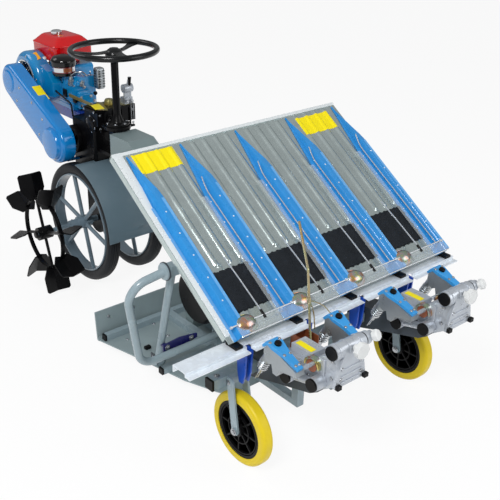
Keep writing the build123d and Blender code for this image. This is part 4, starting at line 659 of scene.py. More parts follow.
# ---------------------------------------------------------------- tray
@dataclass
class Tray:
    """The sloping seedling tray: pressed sheet, dividers, hold-down wires and bare plates.

    Places on it are u up the slope from the foot, y across the machine and w off the face.
    """

    foot: Point = (-1.016, 0.0, 0.533)
    slope: float = math.radians(34.3)
    length: float = 0.905
    half: float = 0.624
    rest: float = -0.105
    thick: float = 0.003
    lip: float = 0.026
    pitch: float = 0.3
    rib_pitch: float = 0.061
    rib_width: float = 0.027
    rib_height: float = 0.0075
    rib_span: tuple[float, float] = (0.296, 0.884)
    belt_span: tuple[float, float] = (0.096, 0.28)
    bar_x: float = -0.6163
    bar_drop: float = 0.0336
    wire_u: float = 0.044
    wire_w: float = 0.036
    plate_spots: tuple = ((0.83, 0.34), (0.813, -0.555))
    dome_rows: tuple = (-0.456, -0.158, 0.147, 0.422)
    body: str = "tray"

    def place(self, u: Array, y: Array, w: Array) -> Array:
        """Points at distances up the slope, across and off the face."""
        u, y, w = np.broadcast_arrays(np.asarray(u, float), np.asarray(y, float), np.asarray(w, float))
        c, s = math.cos(self.slope), math.sin(self.slope)
        return np.stack([self.foot[0] + u * c - w * s, y, self.foot[2] + u * s + w * c], -1)

    def out(self) -> Point:
        """Direction off the tray's face."""
        return (-math.sin(self.slope), 0.0, math.cos(self.slope))

    def strip(self, shape: Surface, size: tuple, u: Array, y: Array, w: Array) -> None:
        """Adds a strip of a width, thickness and corner radius along a run of the face."""
        shape.sweep(oblong(*size), self.place(u, y, w), rise=self.out())

    def lines(self) -> Array:
        """Places of the five dividers across the machine."""
        return self.rest + self.pitch * (np.arange(5) - 2.0)

    def channels(self) -> Array:
        """Middles of the four seedling channels."""
        return self.rest + self.pitch * (np.arange(4) - 1.5)

    def bands(self) -> list[tuple[float, float, float]]:
        """Middle of each divider, with its reach to the left and to the right."""
        first, *inner, last = (float(line) for line in self.lines())
        return [(first, 0.05, 0.022), *((line, 0.05, 0.036) for line in inner), (last - 0.034, 0.034, 0.034)]

    def relief(self, u: Array, y: Array) -> Array:
        """Height of the pressed sheet: each rib is h (1 - (d/b)^2)^1.25 of the distance d to its middle."""
        height = np.zeros(np.broadcast(u, y).shape)
        half = self.rib_width / 2
        start, stop = self.rib_span
        for middle in self.channels():
            for i in range(4):
                du = np.maximum(np.maximum(start + half - u, u - stop + half), 0)
                d = np.hypot(du, y - (middle + self.rib_pitch * (i - 1.5))) / half
                height = np.maximum(height, self.rib_height * np.clip(1 - d**2, 0, 1) ** 1.25)
        return height

    def sheet(self) -> None:
        """The pressed sheet with its folded lips, bright hems, guide bar and hangers."""
        low, high = self.rest - self.half, self.rest + self.half
        start, stop = self.rib_span
        runs = ((0, start - 0.012, 8), (start - 0.012, start + 0.03, 14), (start + 0.03, stop - 0.03, 16),
                (stop - 0.03, self.length, 16))
        u, y = np.meshgrid(np.unique(np.concatenate([np.linspace(*run) for run in runs])),
                           np.linspace(low, high, 417), indexing="ij")
        shape = Surface().slab(self.place(u, y, self.relief(u, y)), self.place(u, y, -self.thick))
        lip = oblong(self.thick, self.lip, 0.001, 3) + [0, -self.lip / 2 - self.thick]
        shape.sweep(lip * [-1, 1], self.place(self.length - self.thick, [low, high], 0), rise=self.out())
        for edge in (low + self.thick / 2, high - self.thick / 2):
            shape.sweep(lip, self.place([self.lip, self.length], edge, 0), rise=self.out())
        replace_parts(shape.build("pressed_sheet", self.body, TRAY_METAL, 50), "tray_sheet")
        lo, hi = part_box("tray_sheet")
        bar_z = self.foot[2] + (self.bar_x - self.foot[0]) * math.tan(self.slope) - self.bar_drop
        ends = [(self.bar_x, lo[1] + 0.01, bar_z), (self.bar_x, hi[1] - 0.01, bar_z)]
        bar = Surface().tube(np.array(ends), 0.012, 20)
        for line in self.lines()[1:-1]:
            bar.plate(oblong(0.024, 0.03, 0.004), (self.bar_x, line - 0.003, bar_z + 0.016), X, Z, -0.006)
        bar.build("guide_bar", self.body, STEEL)
        hems = Surface()
        self.strip(hems, (0.016, 0.0035, 0.0015, 3), self.length - 0.009, [low, high], 0.0022)
        self.strip(hems, (0.042, 0.003, 0.0012, 3), [0.03, self.length], high - 0.022, 0.0022)
        hems.build("sheet_hems", self.body, HEM_METAL)

    def dividers(self) -> None:
        """Blue folded dividers with a raised ridge that runs out to a point at the top, pale strips of
        painted highlight along their folds, and rivets.
        """
        shape, highlight_strips, rivets = Surface(), Surface(), Surface()
        tip, ridge_end = 0.879, 0.853
        u = np.concatenate([np.linspace(0, 0.6, 4), np.linspace(0.62, tip, 27)])
        fade_left, fade_right = (0.06 + 0.94 * np.clip((tip - u) / (tip - full), 0, 1)[:, None]
                                 for full in (0.56, 0.69))
        rise = 0.0045 + 0.0265 * np.clip((ridge_end - u) / (ridge_end - 0.64), 0, 1)
        low = 0.0 * u
        fold = [low, low + 0.0029, low + 0.0038, rise - 0.005, rise, rise, rise - 0.004, low]
        height = np.stack(fold, 1) + 0.0006
        spots = np.arange(0.05, 0.68, 0.105)
        for line, left, right in self.bands():
            fold = np.array([left, left, 0.021, 0.013, 0.008, 0.009 - right, 0.002 - right, -right])
            across = fold * np.where(fold > 0, fade_left, fade_right)
            shape.grid(self.place(u[:, None], line + across, height), wrap_v=True, cap=True)
            # Pale blue strips on the ridge's right edge, and on the last divider's left flange: painted
            # highlight where the folds catch the light.
            self.strip(highlight_strips, (0.012, 0.0012, 0.0004, 2), [0.004, 0.64], line - right + 0.012, 0.0317)
            if left == right:
                self.strip(highlight_strips, (0.013, 0.0012, 0.0004, 2), [0.004, 0.62], line + left - 0.0065, 0.0046)
            for off, tall in ((0.034, 0.0042), (0.0, 0.0316)):
                rivets.domes(self.place(spots, line + off, tall), self.out(), 0.0034)
        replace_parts(shape.build("blue_dividers", self.body, BLUE_DIVIDER, 30), "tray_dividers")
        highlight_strips.build("divider_highlights", self.body, BLUE_HIGHLIGHT)
        rivets.build("divider_rivets", self.body, HEM_METAL)

    def wires(self) -> None:
        """Cross bars at the foot, rods over the belts, bent rods beside the dividers, and clear strips."""
        shape, grips, clear = Surface(), Surface(), Surface()
        lines, u, w = self.lines(), self.wire_u, self.wire_w
        foot = [lines[0] - 0.004, lines[-1] - 0.02]
        shape.tube(self.place(u, [lines[0] - 0.006, lines[-1] + 0.006], w), 0.003, 10)
        for line in lines:
            shape.tube(self.place(u, line, [0.0305, w]), 0.006, 10)
        for middle in self.channels() - 0.004:
            shape.tube(self.place([u + 0.003, 0.2, 0.32], middle, [w, 0.03, 0.022]), 0.003, 8)
            grips.tube(self.place([0.03, 0.066], middle, w), 0.0055, 10)
        for line in lines[:-1]:
            bend = self.place([u + 0.003, 0.62, 0.67], line + np.array([0.04, 0.04, 0.044]),
                              [w, 0.03, 0.056])
            shape.tube(bent(bend, 0.03), 0.0023, 8)
            self.strip(clear, (0.03, 0.0014, 0.0005, 2), [0.03, 0.6], line + 0.06, 0.016)
        shape.tube(self.place(-0.004, foot, 0.034), 0.003, 10)
        self.strip(clear, (0.04, 0.0014, 0.0005, 2), 0.02, foot, 0.0345)
        clear.build("clear_strips", self.body, CLEAR_FILM)
        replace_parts(shape.build("hold_down_wires", self.body, ROD_SILVER), "hold_down_rods")
        grips.build("wire_grips", self.body, BLACK_PLASTIC)

    def plates(self) -> None:
        """Two bare yellow plates over the ribs at the top."""
        v, h = np.meshgrid(np.linspace(-0.05, 0.05, 12), np.linspace(-0.1025, 0.1025, 90), indexing="ij")
        for number, (u, y) in enumerate(self.plate_spots, 1):
            lift = self.relief(u + v, y + h)
            face, back = (self.place(u + v, y + h, lift + gap) for gap in (0.0009, 0.0002))
            Surface().slab(face, back).build(f"bare_plate_{number}", self.body, YELLOW_PLATE)

    def belts(self) -> None:
        """Rough feed belts: a worn height of slow and quick waves, and edges that wander a little."""
        shape = Surface()
        low, high = self.belt_span
        bands = self.bands()
        v, h = np.meshgrid(np.linspace(0, 1, 72), np.linspace(-1, 1, 72), indexing="ij")
        rim = np.clip(np.minimum(np.minimum(v, 1 - v) / 0.05, (1 - np.abs(h)) / 0.05), 0, 1)
        for number, (here, after) in enumerate(zip(bands, bands[1:])):
            left, right = after[0] - after[2] + 0.003, here[0] + here[1] - 0.003
            u = low + (high - low) * v
            phase = 1.7 * number
            wander = 0.0022 * np.sin(u * 190 + phase) + 0.0016 * np.sin(u * 410 + 2 * phase)
            y = (left + right) / 2 + h * ((left - right) / 2 + wander * np.abs(h) ** 4)
            u = u + (v - 0.5) ** 3 * 8 * (0.002 * np.sin(y * 210 + phase) + 0.0014 * np.sin(y * 470))
            lumps = np.sin(u * 430 + 3 * np.sin(y * 90)) * np.sin(y * 380 + 2 * np.sin(u * 120 + phase))
            w = 0.0004 + 0.0072 * np.sqrt(rim * (2 - rim)) + 0.0009 * lumps * rim
            shape.grid(self.place(u, y, w)).grid(self.place(u, y, 0.0002))
        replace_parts(shape.build("rough_belts", self.body, BELT_RUBBER, 60), "feed_belts")

    def domes(self) -> None:
        """Seedling guides: half an ellipsoid each, centre + a cos p sin q + b sin p sin q + c cos q."""
        shape = Surface()
        q = np.linspace(0, math.pi / 2, 14)[:, None, None]
        p = np.linspace(0, 2 * math.pi, 40, endpoint=False)[:, None]
        up = np.sin(p) * [math.cos(self.slope), 0, math.sin(self.slope)]
        across, out = np.cos(p) * [0, 1, 0], np.array(self.out())
        for row in self.dome_rows:
            centre = self.place(0.042, row, 0.016)
            shape.grid(centre + (0.05 * across + 0.036 * up) * np.sin(q) + 0.03 * np.cos(q) * out,
                       wrap_v=True, cap=True)
            shape.tube(centre + 0.053 * across + 0.039 * up, 0.0018, 6, closed=True)
        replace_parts(shape.build("guide_domes", self.body, ZINC_GOLD), "guide_plates")

    def make(self) -> None:
        """Builds the whole tray."""
        for step in (self.sheet, self.dividers, self.wires, self.plates, self.belts, self.domes):
            step()


# ---------------------------------------------------------------- wheels
@dataclass
class RoadWheels:
    """Two road wheels: ribbed tyres over the spoked rims, and bolts at the hub."""

    centre: Point = (0.678, 0.0, 0.326)
    reach: float = 0.14
    inner: float = 0.27
    outer: float = 0.326
    width: float = 0.068
    groove: float = 0.0035
    body: str = "drive_wheels"

    def section(self) -> Array:
        """Tyre section as (radius, offset): a crown r - k y^4 between two rounded shoulders."""
        half, inner, outer = self.width / 2, self.inner, self.outer
        y = np.linspace(-half + 0.006, half - 0.006, 25)
        crown = outer - self.groove - 0.012 * (y / half) ** 4
        groove = self.groove * (np.abs(np.mod(y * 1000 + 5.5, 11) - 5.5) < 1.6)
        tread = np.stack([crown - groove + self.groove * (1 - np.abs(y / half) ** 6), y], -1)
        wall = [(tread[-1, 0], half - 0.006), (outer - 0.024, half), (inner + 0.016, half - 0.003),
                (inner + 0.003, half - 0.007), (inner, half - 0.012)]
        wall = rounded(wall, 0.008, 5, closed=False)
        return np.vstack([tread, wall, wall[::-1] * [1, -1]])

    def make(self) -> None:
        """Builds both tyres, the hub bolts and bosses, and the cap on the axle's end."""
        cx, _, cz = self.centre
        tyres, bosses = Surface(), Surface()
        a = np.linspace(0, 2 * math.pi, 120, endpoint=False)[:, None]
        r, off = self.section().T
        for side in Side:
            y = np.broadcast_to(side.value * self.reach + off, (len(a), len(off)))
            tyres.grid(np.stack([cx + np.cos(a) * r, y, cz + np.sin(a) * r], -1), wrap_u=True, wrap_v=True)
            bosses.turned([(0, 0.034), (0.017, 0.033), (0.02, 0.028), (0.021, 0.008), (0.031, 0.004),
                           (0.032, 0)],
                          (cx, side.value * (self.reach + 0.036), cz), (0, side.value, 0))
        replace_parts(tyres.build("ribbed_tyres", self.body, BLACK_RUBBER, 50), "wheel_tyres")
        places = around((cx, self.reach + 0.0385, cz), 0.023, 6)
        Surface().bolts(places, Y, 0.005).build("hub_bolts", self.body, STEEL)
        pin = [(cx + side.value * 0.034, self.reach + 0.055, cz + side.value * 0.012)
               for side in reversed(Side)]
        bosses.tube(np.array(pin), 0.0045, 10).build("hub_bosses", self.body, RIM_PAINT)
        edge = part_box("paddy_wheel")[1][1]
        end = Surface().turned([(0, 0.012), (0.015, 0.011), (0.02, 0.006), (0.02, 0)],
                               (cx, edge - 0.025, cz), Y, 20)
        end.build("axle_end_cap", self.body, BLACK_PAINT)


@dataclass
class RearWheels:
    """Yellow rear wheels: moulded rings and the bolts of their forks."""

    x: float = -1.036
    z: float = 0.152
    y: float = 0.463
    width: float = 0.052

    def make(self) -> None:
        """Builds what both wheels and forks carry."""
        for side in Side:
            name, middle = side.name.lower(), side.value * self.y
            rings, bolts = Surface(), Surface()
            for face in (1, -1):
                centre = (self.x, middle + face * (self.width / 2 - 0.003), self.z)
                for r in (0.058, 0.1):
                    rim = [(r - 0.003, -0.012), (r - 0.002, -0.001), (r + 0.002, -0.001),
                           (r + 0.003, -0.012)]
                    rings.lathe(rim, centre, (0, face, 0), 48)
                leg = middle + face * (self.width / 2 + 0.014)
                bolts.bolts([(self.x, leg + face * 0.006, self.z)], (0, face, 0), 0.0105)
                bolts.bolts([(-0.995, leg, 0.352)], (0, face, 0), 0.008)
            rings.build(f"core_rings_{name}", f"rear_wheel_{name}", BLACK_PLASTIC)
            bolts.build(f"fork_bolts_{name}", "frame", STEEL)


# ---------------------------------------------------------------- steering
@dataclass
class Steering:
    """Steering wheel with a moulded rim, dished spokes and a domed hub."""

    centre: Point = (0.514, 0.0, 1.262)
    radius: float = 0.212
    grip: float = 0.015
    body: str = "power_head"

    def make(self) -> None:
        """Builds the wheel and the bolts at the column's foot."""
        cx, _, cz = self.centre
        rim = lifted(ring(self.radius, 96), cz) + [cx, 0, 0]
        shape = Surface().sweep(ring(1.0, 20) * [self.grip * 0.95, self.grip], rim, closed=True, rise=Z)
        t = np.linspace(0, 1, 16)
        r = 0.03 + (self.radius - 0.034) * t
        dip = -0.016 - 0.012 * np.sin(math.pi * t) * (1 - t)
        wide = 0.025 - 0.011 * np.sin(math.pi * t) + 0.004 * t**4
        flat = oblong(1.0, 1.0, 0.3, 4)[None] * np.stack([2 * wide, np.full(16, 0.011)], -1)[:, None, :]
        for angle in np.radians((60, 180, 300)):
            path = np.stack([cx + r * math.cos(angle), r * math.sin(angle), cz + dip + 0.006], -1)
            shape.sweep(flat, path, rise=Z)
        hub = [(0, -0.0595), (0.028, -0.0595), (0.044, -0.026), (0.043, -0.018), (0.036, -0.004),
               (0.03, 0.002), (0.026, 0.003), (0.022, 0.008), (0.012, 0.0098), (0, 0.01)]
        shape.lathe(hub, self.centre, Z, 40)
        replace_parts(shape.build("moulded_wheel", self.body, WHEEL_PLASTIC, 50), "steering_wheel")
        places = lifted(ring(0.05, 6, 0.3), 0.8945) + [cx, 0, 0]
        Surface().bolts(places, Z, 0.0065).build("column_bolts", self.body, STEEL)


# ---------------------------------------------------------------- chassis
@dataclass
class Chassis:
    """Seat pad, and the bolts and clamps of the float, beam and tubes."""

    clamp: Point = (-0.576, 0.4855, 0.64)
    strut: Point = (-0.346, 0.376, 0.062)
    deck: float = 0.052
    body: str = "frame"

    def seat(self) -> None:
        """Crowned seat pad: a rounded plan whose sides draw in under it and over its crown."""
        lo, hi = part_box("seat")
        mid, size = (np.array(lo) + np.array(hi))[:2] / 2, (np.array(hi) - np.array(lo))[:2]
        base = oblong(1.0, 1.0, 0.27, 10) * size
        levels = [(0.9, 0.0), (0.97, 0.004), (1.0, 0.014), (1.0, 0.022), (0.985, 0.03), (0.93, 0.037),
                  (0.8, 0.0405), (0.55, 0.0418), (0.3, 0.0415), (0.1, 0.041)]
        loops = [lifted(base * s + mid, lo[2] + h) for s, h in levels]
        pad = Surface().grid(np.stack(loops), wrap_v=True, cap=True)
        piece = pad.build("seat_pad", self.body, SEAT_VINYL, 60)
        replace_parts(piece, "seat")
        piping = lifted(base * 0.994 + mid, lo[2] + 0.018)
        Surface().tube(piping, 0.0028, 8, closed=True).build("seat_piping", self.body, BLACK_PLASTIC)

    def fasteners(self) -> None:
        """Bolts on the float, brackets and tube clamps."""
        shape = Surface()
        pairs = [(-0.06, 0.2), (-0.25, 0.3), (-0.5, 0.25), (-0.1, 0.38), (-0.19, 0.21)]
        shape.bolts([(x, side.value * y, self.deck) for x, y in pairs for side in Side], Z, 0.006)
        shape.bolts([(0.004, y, 0.11) for y in (-0.4, -0.2, 0.2, 0.4)], X, 0.006)
        shape.bolts([(-0.008, y, 0.15) for y in (0.42, 0.28, -0.28, -0.42)], (-1, 0, 0), 0.0055)
        for side in (1, -1):
            shape.bolts([(-0.576, side * 0.478, 0.666), (-0.576, side * 0.478, 0.604)], (0, side, 0), 0.006)
            shape.bolts([(-0.962, side * 0.4, 0.3745), (-0.962, side * 0.53, 0.3745)], Z, 0.008)
            shape.bolts([(-0.445, side * 0.39, 0.185), (-0.445, side * 0.26, 0.185)], (-1, 0, 0), 0.009)
        shape.build("frame_bolts", self.body, STEEL)
        stop = Surface().block((-0.235, 0.335, self.deck), (-0.215, 0.365, 0.066))
        stop.build("float_stop", self.body, BLACK_PLASTIC)

    def clamps(self) -> None:
        """Two-half clamps round the ends of the upper tube, and the feet of the struts with their pins."""
        clamps, bands, pins = Surface(), Surface(), Surface()
        x, y, z = self.strut
        for side in (1, -1):
            end = (self.clamp[0], side * self.clamp[1], self.clamp[2])
            clamps.lathe([(0.028, -0.011), (0.034, -0.01), (0.036, -0.006), (0.036, 0.006), (0.034, 0.01),
                          (0.028, 0.011)], end, Y)
            clamps.turned([(0, 0.012), (0.03, 0.01), (0.034, 0.002), (0.034, 0)], (x, side * y, z),
                          (-0.36, side * 0.12, 0.9), 24)
            bands.lathe([(0.0325, -0.004), (0.0385, -0.003), (0.0385, 0.003), (0.0325, 0.004)], end, Y)
            for reach in (y - 0.018, y + 0.018):
                bands.block((x - 0.026, side * reach - 0.003, 0.054), (x + 0.026, side * reach + 0.003, 0.1),
                            0.002, 0.003)
            pins.turned([(0, 0.052), (0.009, 0.052), (0.009, 0.046), (0.006, 0.045), (0.006, 0.007),
                         (0.009, 0.006), (0.009, 0)], (x, side * y - 0.026, 0.086), Y, 16)
        clamps.build("tube_clamps", self.body, TUBE_PAINT)
        bands.build("clamp_bands", self.body, CASTING_PAINT)
        pins.build("strut_pins", self.body, STEEL)

    def make(self) -> None:
        """Builds every chassis piece."""
        self.seat()
        self.fasteners()
        self.clamps()


# ---------------------------------------------------------------- engine
@dataclass
class Engine:
    """Engine trim: tank, filter, silencer, cowl fittings, pipes and the belt guard."""

    crank: tuple[float, float] = (1.286, 0.985)
    pulley: tuple[float, float] = (0.820, 0.745)
    crank_r: float = 0.092
    pulley_r: float = 0.108
    guard_face: float = 0.215
    guard_back: float = 0.135
    shoulder: float = 0.02
    body: str = "power_head"

    def tank(self) -> None:
        """Red pressed tank: loops of a rounded rectangle drawn in towards the roof, with a crimped seam."""
        lo, hi = (np.array(corner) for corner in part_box("fuel_tank"))
        mid, (wide, deep) = (lo + hi)[:2] / 2, (hi - lo)[:2] - 0.004
        floor, roof = lo[2] + 0.025, hi[2] - 0.022
        waist = floor + (roof - floor) * 0.66
        levels = [(0.016, floor), (0.004, floor + 0.003), (0, floor + 0.012), (0, waist - 0.006),
                  (-0.0018, waist - 0.003), (-0.002, waist), (0, waist + 0.004), (0.006, waist + 0.008),
                  (0.034, roof - 0.007), (0.044, roof - 0.001), (0.05, roof)]
        loops = [lifted(oblong(wide - 2 * d, deep - 2.2 * d, max(0.03 - d * 0.2, 0.01), 6) + mid, z)
                 for d, z in levels]
        shape = Surface().grid(np.stack(loops), wrap_v=True, cap=True)
        for y in (mid[1] - 0.06, mid[1] + 0.06):
            shape.block((mid[0] - 0.06, y - 0.012, lo[2]), (mid[0] + 0.04, y + 0.012, floor + 0.002))
        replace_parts(shape.build("pressed_tank", self.body, RED_PAINT, 32), "fuel_tank")
        cap = [(0, 0.022), (0.022, 0.0215), (0.027, 0.019), (0.031, 0.016), (0.031, 0.007), (0.026, 0.004),
               (0.026, 0)]
        lid = Surface().turned(cap, (mid[0] + 0.01, mid[1] + 0.026, roof), Z, 40)
        lid.build("tank_cap", self.body, CHROME)
        strip = Surface().plate(oblong(0.05, 0.006, 0.001, 3),
                                (mid[0] - 0.05, mid[1] + 0.035, roof + 0.0002),
                                (1, 0.2, 0), (-0.2, 1, 0), 0.0008, 0.0003)
        strip.build("tank_strip", self.body, ORANGE_PLATE)

    def cleaner(self) -> None:
        """Air filter: black dome and foot with a banded waist between them."""
        lo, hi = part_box("air_cleaner")
        x, y, z = foot = ((lo[0] + hi[0]) / 2, (lo[1] + hi[1]) / 2, lo[2])
        h, r = hi[2] - lo[2], (hi[0] - lo[0]) / 2
        dome = [(0, h), (0.012, h), (0.016, h - 0.002), (0.03, h - 0.004), (0.048, h * 0.93),
                (r - 0.007, h * 0.83),
                (r - 0.001, h * 0.74), (r, h * 0.68), (r, h * 0.5), (r - 0.004, h * 0.47), (0, h * 0.47)]
        base = [(0, h * 0.2), (r - 0.005, h * 0.2), (r - 0.004, h * 0.17), (r - 0.008, h * 0.06),
                (r - 0.02, 0.002)]
        shell = Surface().lathe(dome, foot, Z, 48).turned(base, foot, Z, 48)
        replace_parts(shell.build("filter_shell", self.body, GLOSS_BLACK), "air_cleaner")
        for name, low, high, grow, finish in (("filter_band", 0.24, 0.44, 0, CHROME),
                                              ("filter_rim_low", 0.2, 0.24, 0.001, DARK_RED),
                                              ("filter_rim_high", 0.44, 0.475, 0.001, DARK_RED)):
            side = r - 0.006 + grow
            band = [(0, h * low), (side, h * low), (side, h * high), (0, h * high)]
            Surface().lathe(band, foot, Z, 48).build(name, self.body, finish)
        a = np.linspace(math.radians(150), math.radians(196), 12)
        out = np.stack([np.cos(a), np.sin(a), np.zeros(12)], -1)
        outer = np.stack([(x, y, z + h * share) + (r - 0.0048) * out for share in (0.25, 0.43)])
        Surface().grid(outer).grid(outer - out * 0.001).build("filter_wrap", self.body, COPPER_PAINT)
        nut = [(0, 0.004), (0.006, 0.003), (0.008, 0), (0.004, -0.004), (0, -0.004)]
        Surface().lathe(nut, (x, y, hi[2] - 0.004), Z, 12).build("filter_nut", self.body, STEEL)

    def silencer(self) -> None:
        """Silencer box with a pressed seam round its middle, and rows of slots drawn as black plates:
        painted shade standing for the slot openings.
        """
        lo, hi = (np.array(corner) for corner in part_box("muffler"))
        mid, size = (lo + hi) / 2, (hi - lo)[:2] - 0.002
        z = np.linspace(lo[2] + 0.004, hi[2] - 0.004, 61)
        ends = np.clip(np.minimum(z - lo[2], hi[2] - z) / 0.02, 0, 1)
        seam = 0.0016 * np.exp(-(((z - mid[2]) / 0.0022) ** 2))
        inset = 0.0022 - seam + 0.011 * (1 - np.sqrt(1 - (1 - ends) ** 2))
        base = oblong(1.0, 1.0, 0.3, 6)
        loops = [lifted(base * (size - 2 * d) + mid[:2], q) for d, q in zip(inset, z)]
        shape = Surface().grid(np.stack(loops), wrap_v=True, cap=True)
        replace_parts(shape.build("ribbed_silencer", self.body, DULL_STEEL, 50), "muffler")
        # Black plates in rows: painted shade where the slots open into the dark inside.
        slot_shade = Surface()
        short, long = oblong(0.014, 0.0052, 0.0024, 4), oblong(0.02, 0.005, 0.0024, 4)
        for z in lo[2] + 0.018 + 0.014 * np.arange(7):
            for y in (mid[1] - 0.012, mid[1] + 0.014):
                slot_shade.plate(short, (lo[0] + 0.0014, y, z), (0, -1, 0), Z, -0.0012, 0.0003)
            slot_shade.plate(long, (mid[0], hi[1] - 0.0014, z), (-1, 0, 0), Z, 0.0012, 0.0003)
        slot_shade.build("silencer_slot_shade", self.body, BLACK_PAINT)
        knob = Surface().turned([(0, 0.02), (0.008, 0.019), (0.011, 0.014), (0.011, 0.006), (0.005, 0)],
                                (lo[0] + 0.012, mid[1] + 0.04, lo[2] - 0.024), Z, 20)
        knob.build("drain_knob", self.body, BLACK_PLASTIC)

    def guard(self) -> None:
        """Gloss belt guard: the belt's outline, drawn in over a rounded shoulder, with two raised bosses."""
        lo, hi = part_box("belt_guard")
        c, p = np.array(self.crank), np.array(self.pulley)
        upper, lower, curl = self.crank_r, self.pulley_r, self.shoulder
        face, back = self.guard_face, self.guard_back
        d, reach = unit(c - p), float(np.linalg.norm(c - p))
        lean, half = math.atan2(d[1], d[0]), math.pi - math.acos((upper - lower) / reach)
        top = np.linspace(lean - half, lean + half, 48)
        low = np.linspace(lean + half, lean + 2 * math.pi - half, 48)
        outline = np.vstack([c + upper * np.stack([np.cos(top), np.sin(top)], -1),
                             p + lower * np.stack([np.cos(low), np.sin(low)], -1)])
        a = np.linspace(0, math.pi / 2, 8)
        inset = np.concatenate([[0.003, 0.0, 0.0], curl * (1 - np.cos(a))])
        depth = np.concatenate([[back, back + 0.003, face - curl - 0.012], face - curl + curl * np.sin(a)])
        along = np.roll(outline, -1, 0) - np.roll(outline, 1, 0)
        inward = unit(np.stack([-along[:, 1], along[:, 0]], -1))
        flat = outline[None] + inward[None] * inset[:, None, None]
        points = np.stack([flat[..., 0], np.broadcast_to(depth[:, None], flat.shape[:2]), flat[..., 1]], -1)
        shape = Surface().grid(points, wrap_v=True, cap=True)
        for (x, z), r, tall in ((c, 0.062, 0.006), (p, 0.086, hi[1] - face)):
            boss = [(r + 0.004, -0.001), (r, 0.001), (r - 0.003, tall * 0.6), (r - 0.008, tall * 0.93),
                    (r - 0.014, tall), (0, tall)]
            shape.lathe(boss, (x, face, z), Y, 64)
        shape.block((c[0] - 0.002, 0.1126, c[1] - 0.12), (c[0] + 0.02, 0.15, c[1] - 0.092))
        shape.block((p[0] - 0.03, 0.0755, lo[2]), (p[0] - 0.008, 0.15, lo[2] + 0.012))
        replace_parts(shape.build("gloss_guard", self.body, BLUE_GUARD, 32), "belt_guard")
        n = np.array([-d[1], d[0]])
        spots = [c + (p - c) * t + n * off
                 for t, off in ((0.22, 0.045), (0.22, -0.045), (0.74, 0.05), (0.74, -0.055), (0.5, 0.062))]
        Surface().bolts([(x, face, z) for x, z in spots], Y, 0.0055).build("guard_bolts", self.body, STEEL)
        down = 0.24
        spot = c - d * down + n * np.sign(n[1]) * (upper + down / reach * (lower - upper) + 0.0006)
        plate = Surface().label(0.118, 0.048, (spot[0], 0.155, spot[1]), (-d[0], 0, -d[1]), Y)
        plate.build("guard_plate", self.body, YELLOW_PLATE)

    def cowl(self) -> None:
        """Cowl fittings: bare plate, rim bolts and the wire grille over its dark mouth."""
        x, z = self.crank
        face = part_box("fan_cowl")[1][1]
        rim = around((x, face - 0.003, z), 0.128, 5, 0.5)
        Surface().bolts(rim, Y, 0.005).build("cowl_bolts", self.body, STEEL)
        grille = Surface()
        for r in (0.102, 0.062):
            grille.lathe([(r - 0.004, 0), (r - 0.003, 0.004), (r + 0.003, 0.004), (r + 0.004, 0)],
                         (x, face, z), Y, 64)
        hub, start = np.array([x, face + 0.0025, z]), (0, 0, 0)
        across, round_it = around(start, 1.0, 36), around(start, 1.0, 36, math.pi / 2)
        for d, t in zip(across, round_it):
            grille.tube(np.stack([hub + d * 0.062, hub + d * 0.101 + t * 0.008]), 0.0017, 6)
        grille.build("cowl_grille", self.body, CHROME)
        mouth = Surface().turned([(0, 0.0012), (0.1, 0.0012), (0.101, 0)], (x, face, z), Y, 48)
        mouth.build("cowl_shadow", self.body, BLACK_PAINT)
        a = math.radians(118)
        along = np.array([-math.sin(a), 0, math.cos(a)])
        over = np.cross(unit(np.array([math.cos(a), 0.35, math.sin(a)])), along)
        spot = (x + 0.149 * math.cos(a), 0.072, z + 0.149 * math.sin(a))
        plate = Surface().label(0.06, 0.034, spot, along, over, -0.001)
        plate.build("cowl_plate", self.body, ORANGE_PLATE)

    def fittings(self) -> None:
        """Pipes, studs, ribs and the fuel filter on the block."""
        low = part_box("engine_block")[0][2]
        pipes, ribs, studs = Surface(), Surface(), Surface()
        for run in (
            [(1.02, -0.05, 1.04), (1.0, -0.09, 1.05), (0.965, -0.1, 1.03), (0.955, -0.1, 0.99)],
            [(1.2, -0.02, 1.1), (1.16, 0.0, 1.085), (1.12, -0.01, 1.02), (1.1, -0.02, 1.0)],
            [(0.99, -0.095, 1.0), (0.965, -0.108, 1.02), (0.945, -0.11, 1.05), (0.93, -0.1, 1.06)],
        ):
            pipes.tube(bent(run, 0.02), 0.0035, 8)
        pipes.build("fuel_pipes", self.body, STEEL)
        for z in low + 0.02 + 0.014 * np.arange(6):
            ribs.block((0.918, -0.122, z), (1.085, 0.026, z + 0.005), 0.0015, 0.01)
        for x in 0.94 + 0.032 * np.arange(5):
            ribs.block((x, -0.118, 1.0), (x + 0.006, 0.018, 1.022), 0.0015, 0.003)
        ribs.block((0.874, -0.064, 0.93), (0.906, 0.004, 0.97), 0.004, 0.008)
        ribs.turned([(0, 0.03), (0.02, 0.028), (0.026, 0.02), (0.026, 0)], (0.96, -0.06, 1.0), Z, 24)
        ribs.turned([(0, 0.024), (0.014, 0.022), (0.018, 0.014), (0.018, 0)], (0.925, -0.02, 1.0), Z, 20)
        ribs.build("block_ribs", self.body, TEAL_PAINT)
        studs.bolts([(0.935, -0.1, 1.041), (0.935, -0.08, 1.041), (0.925, 0.005, 0.997),
                     (0.98, 0.005, 0.999)], Z, 0.006)
        studs.bolts([(0.9138, -0.05, 0.985), (0.9138, -0.11, 0.9), (0.8678, -0.06, 0.9), (0.8678, 0.0, 0.9),
                     (0.8678, -0.06, 0.945), (0.8678, 0.0, 0.945)], (-1, 0, 0), 0.006)
        studs.build("block_studs", self.body, STEEL)
        glass = Surface().turned([(0, 0.062), (0.009, 0.06), (0.013, 0.05), (0.013, 0.006), (0.008, 0)],
                                 (1.2, 0.03, 1.05), Z, 20)
        glass.build("fuel_filter", self.body, WHITE_PLASTIC)

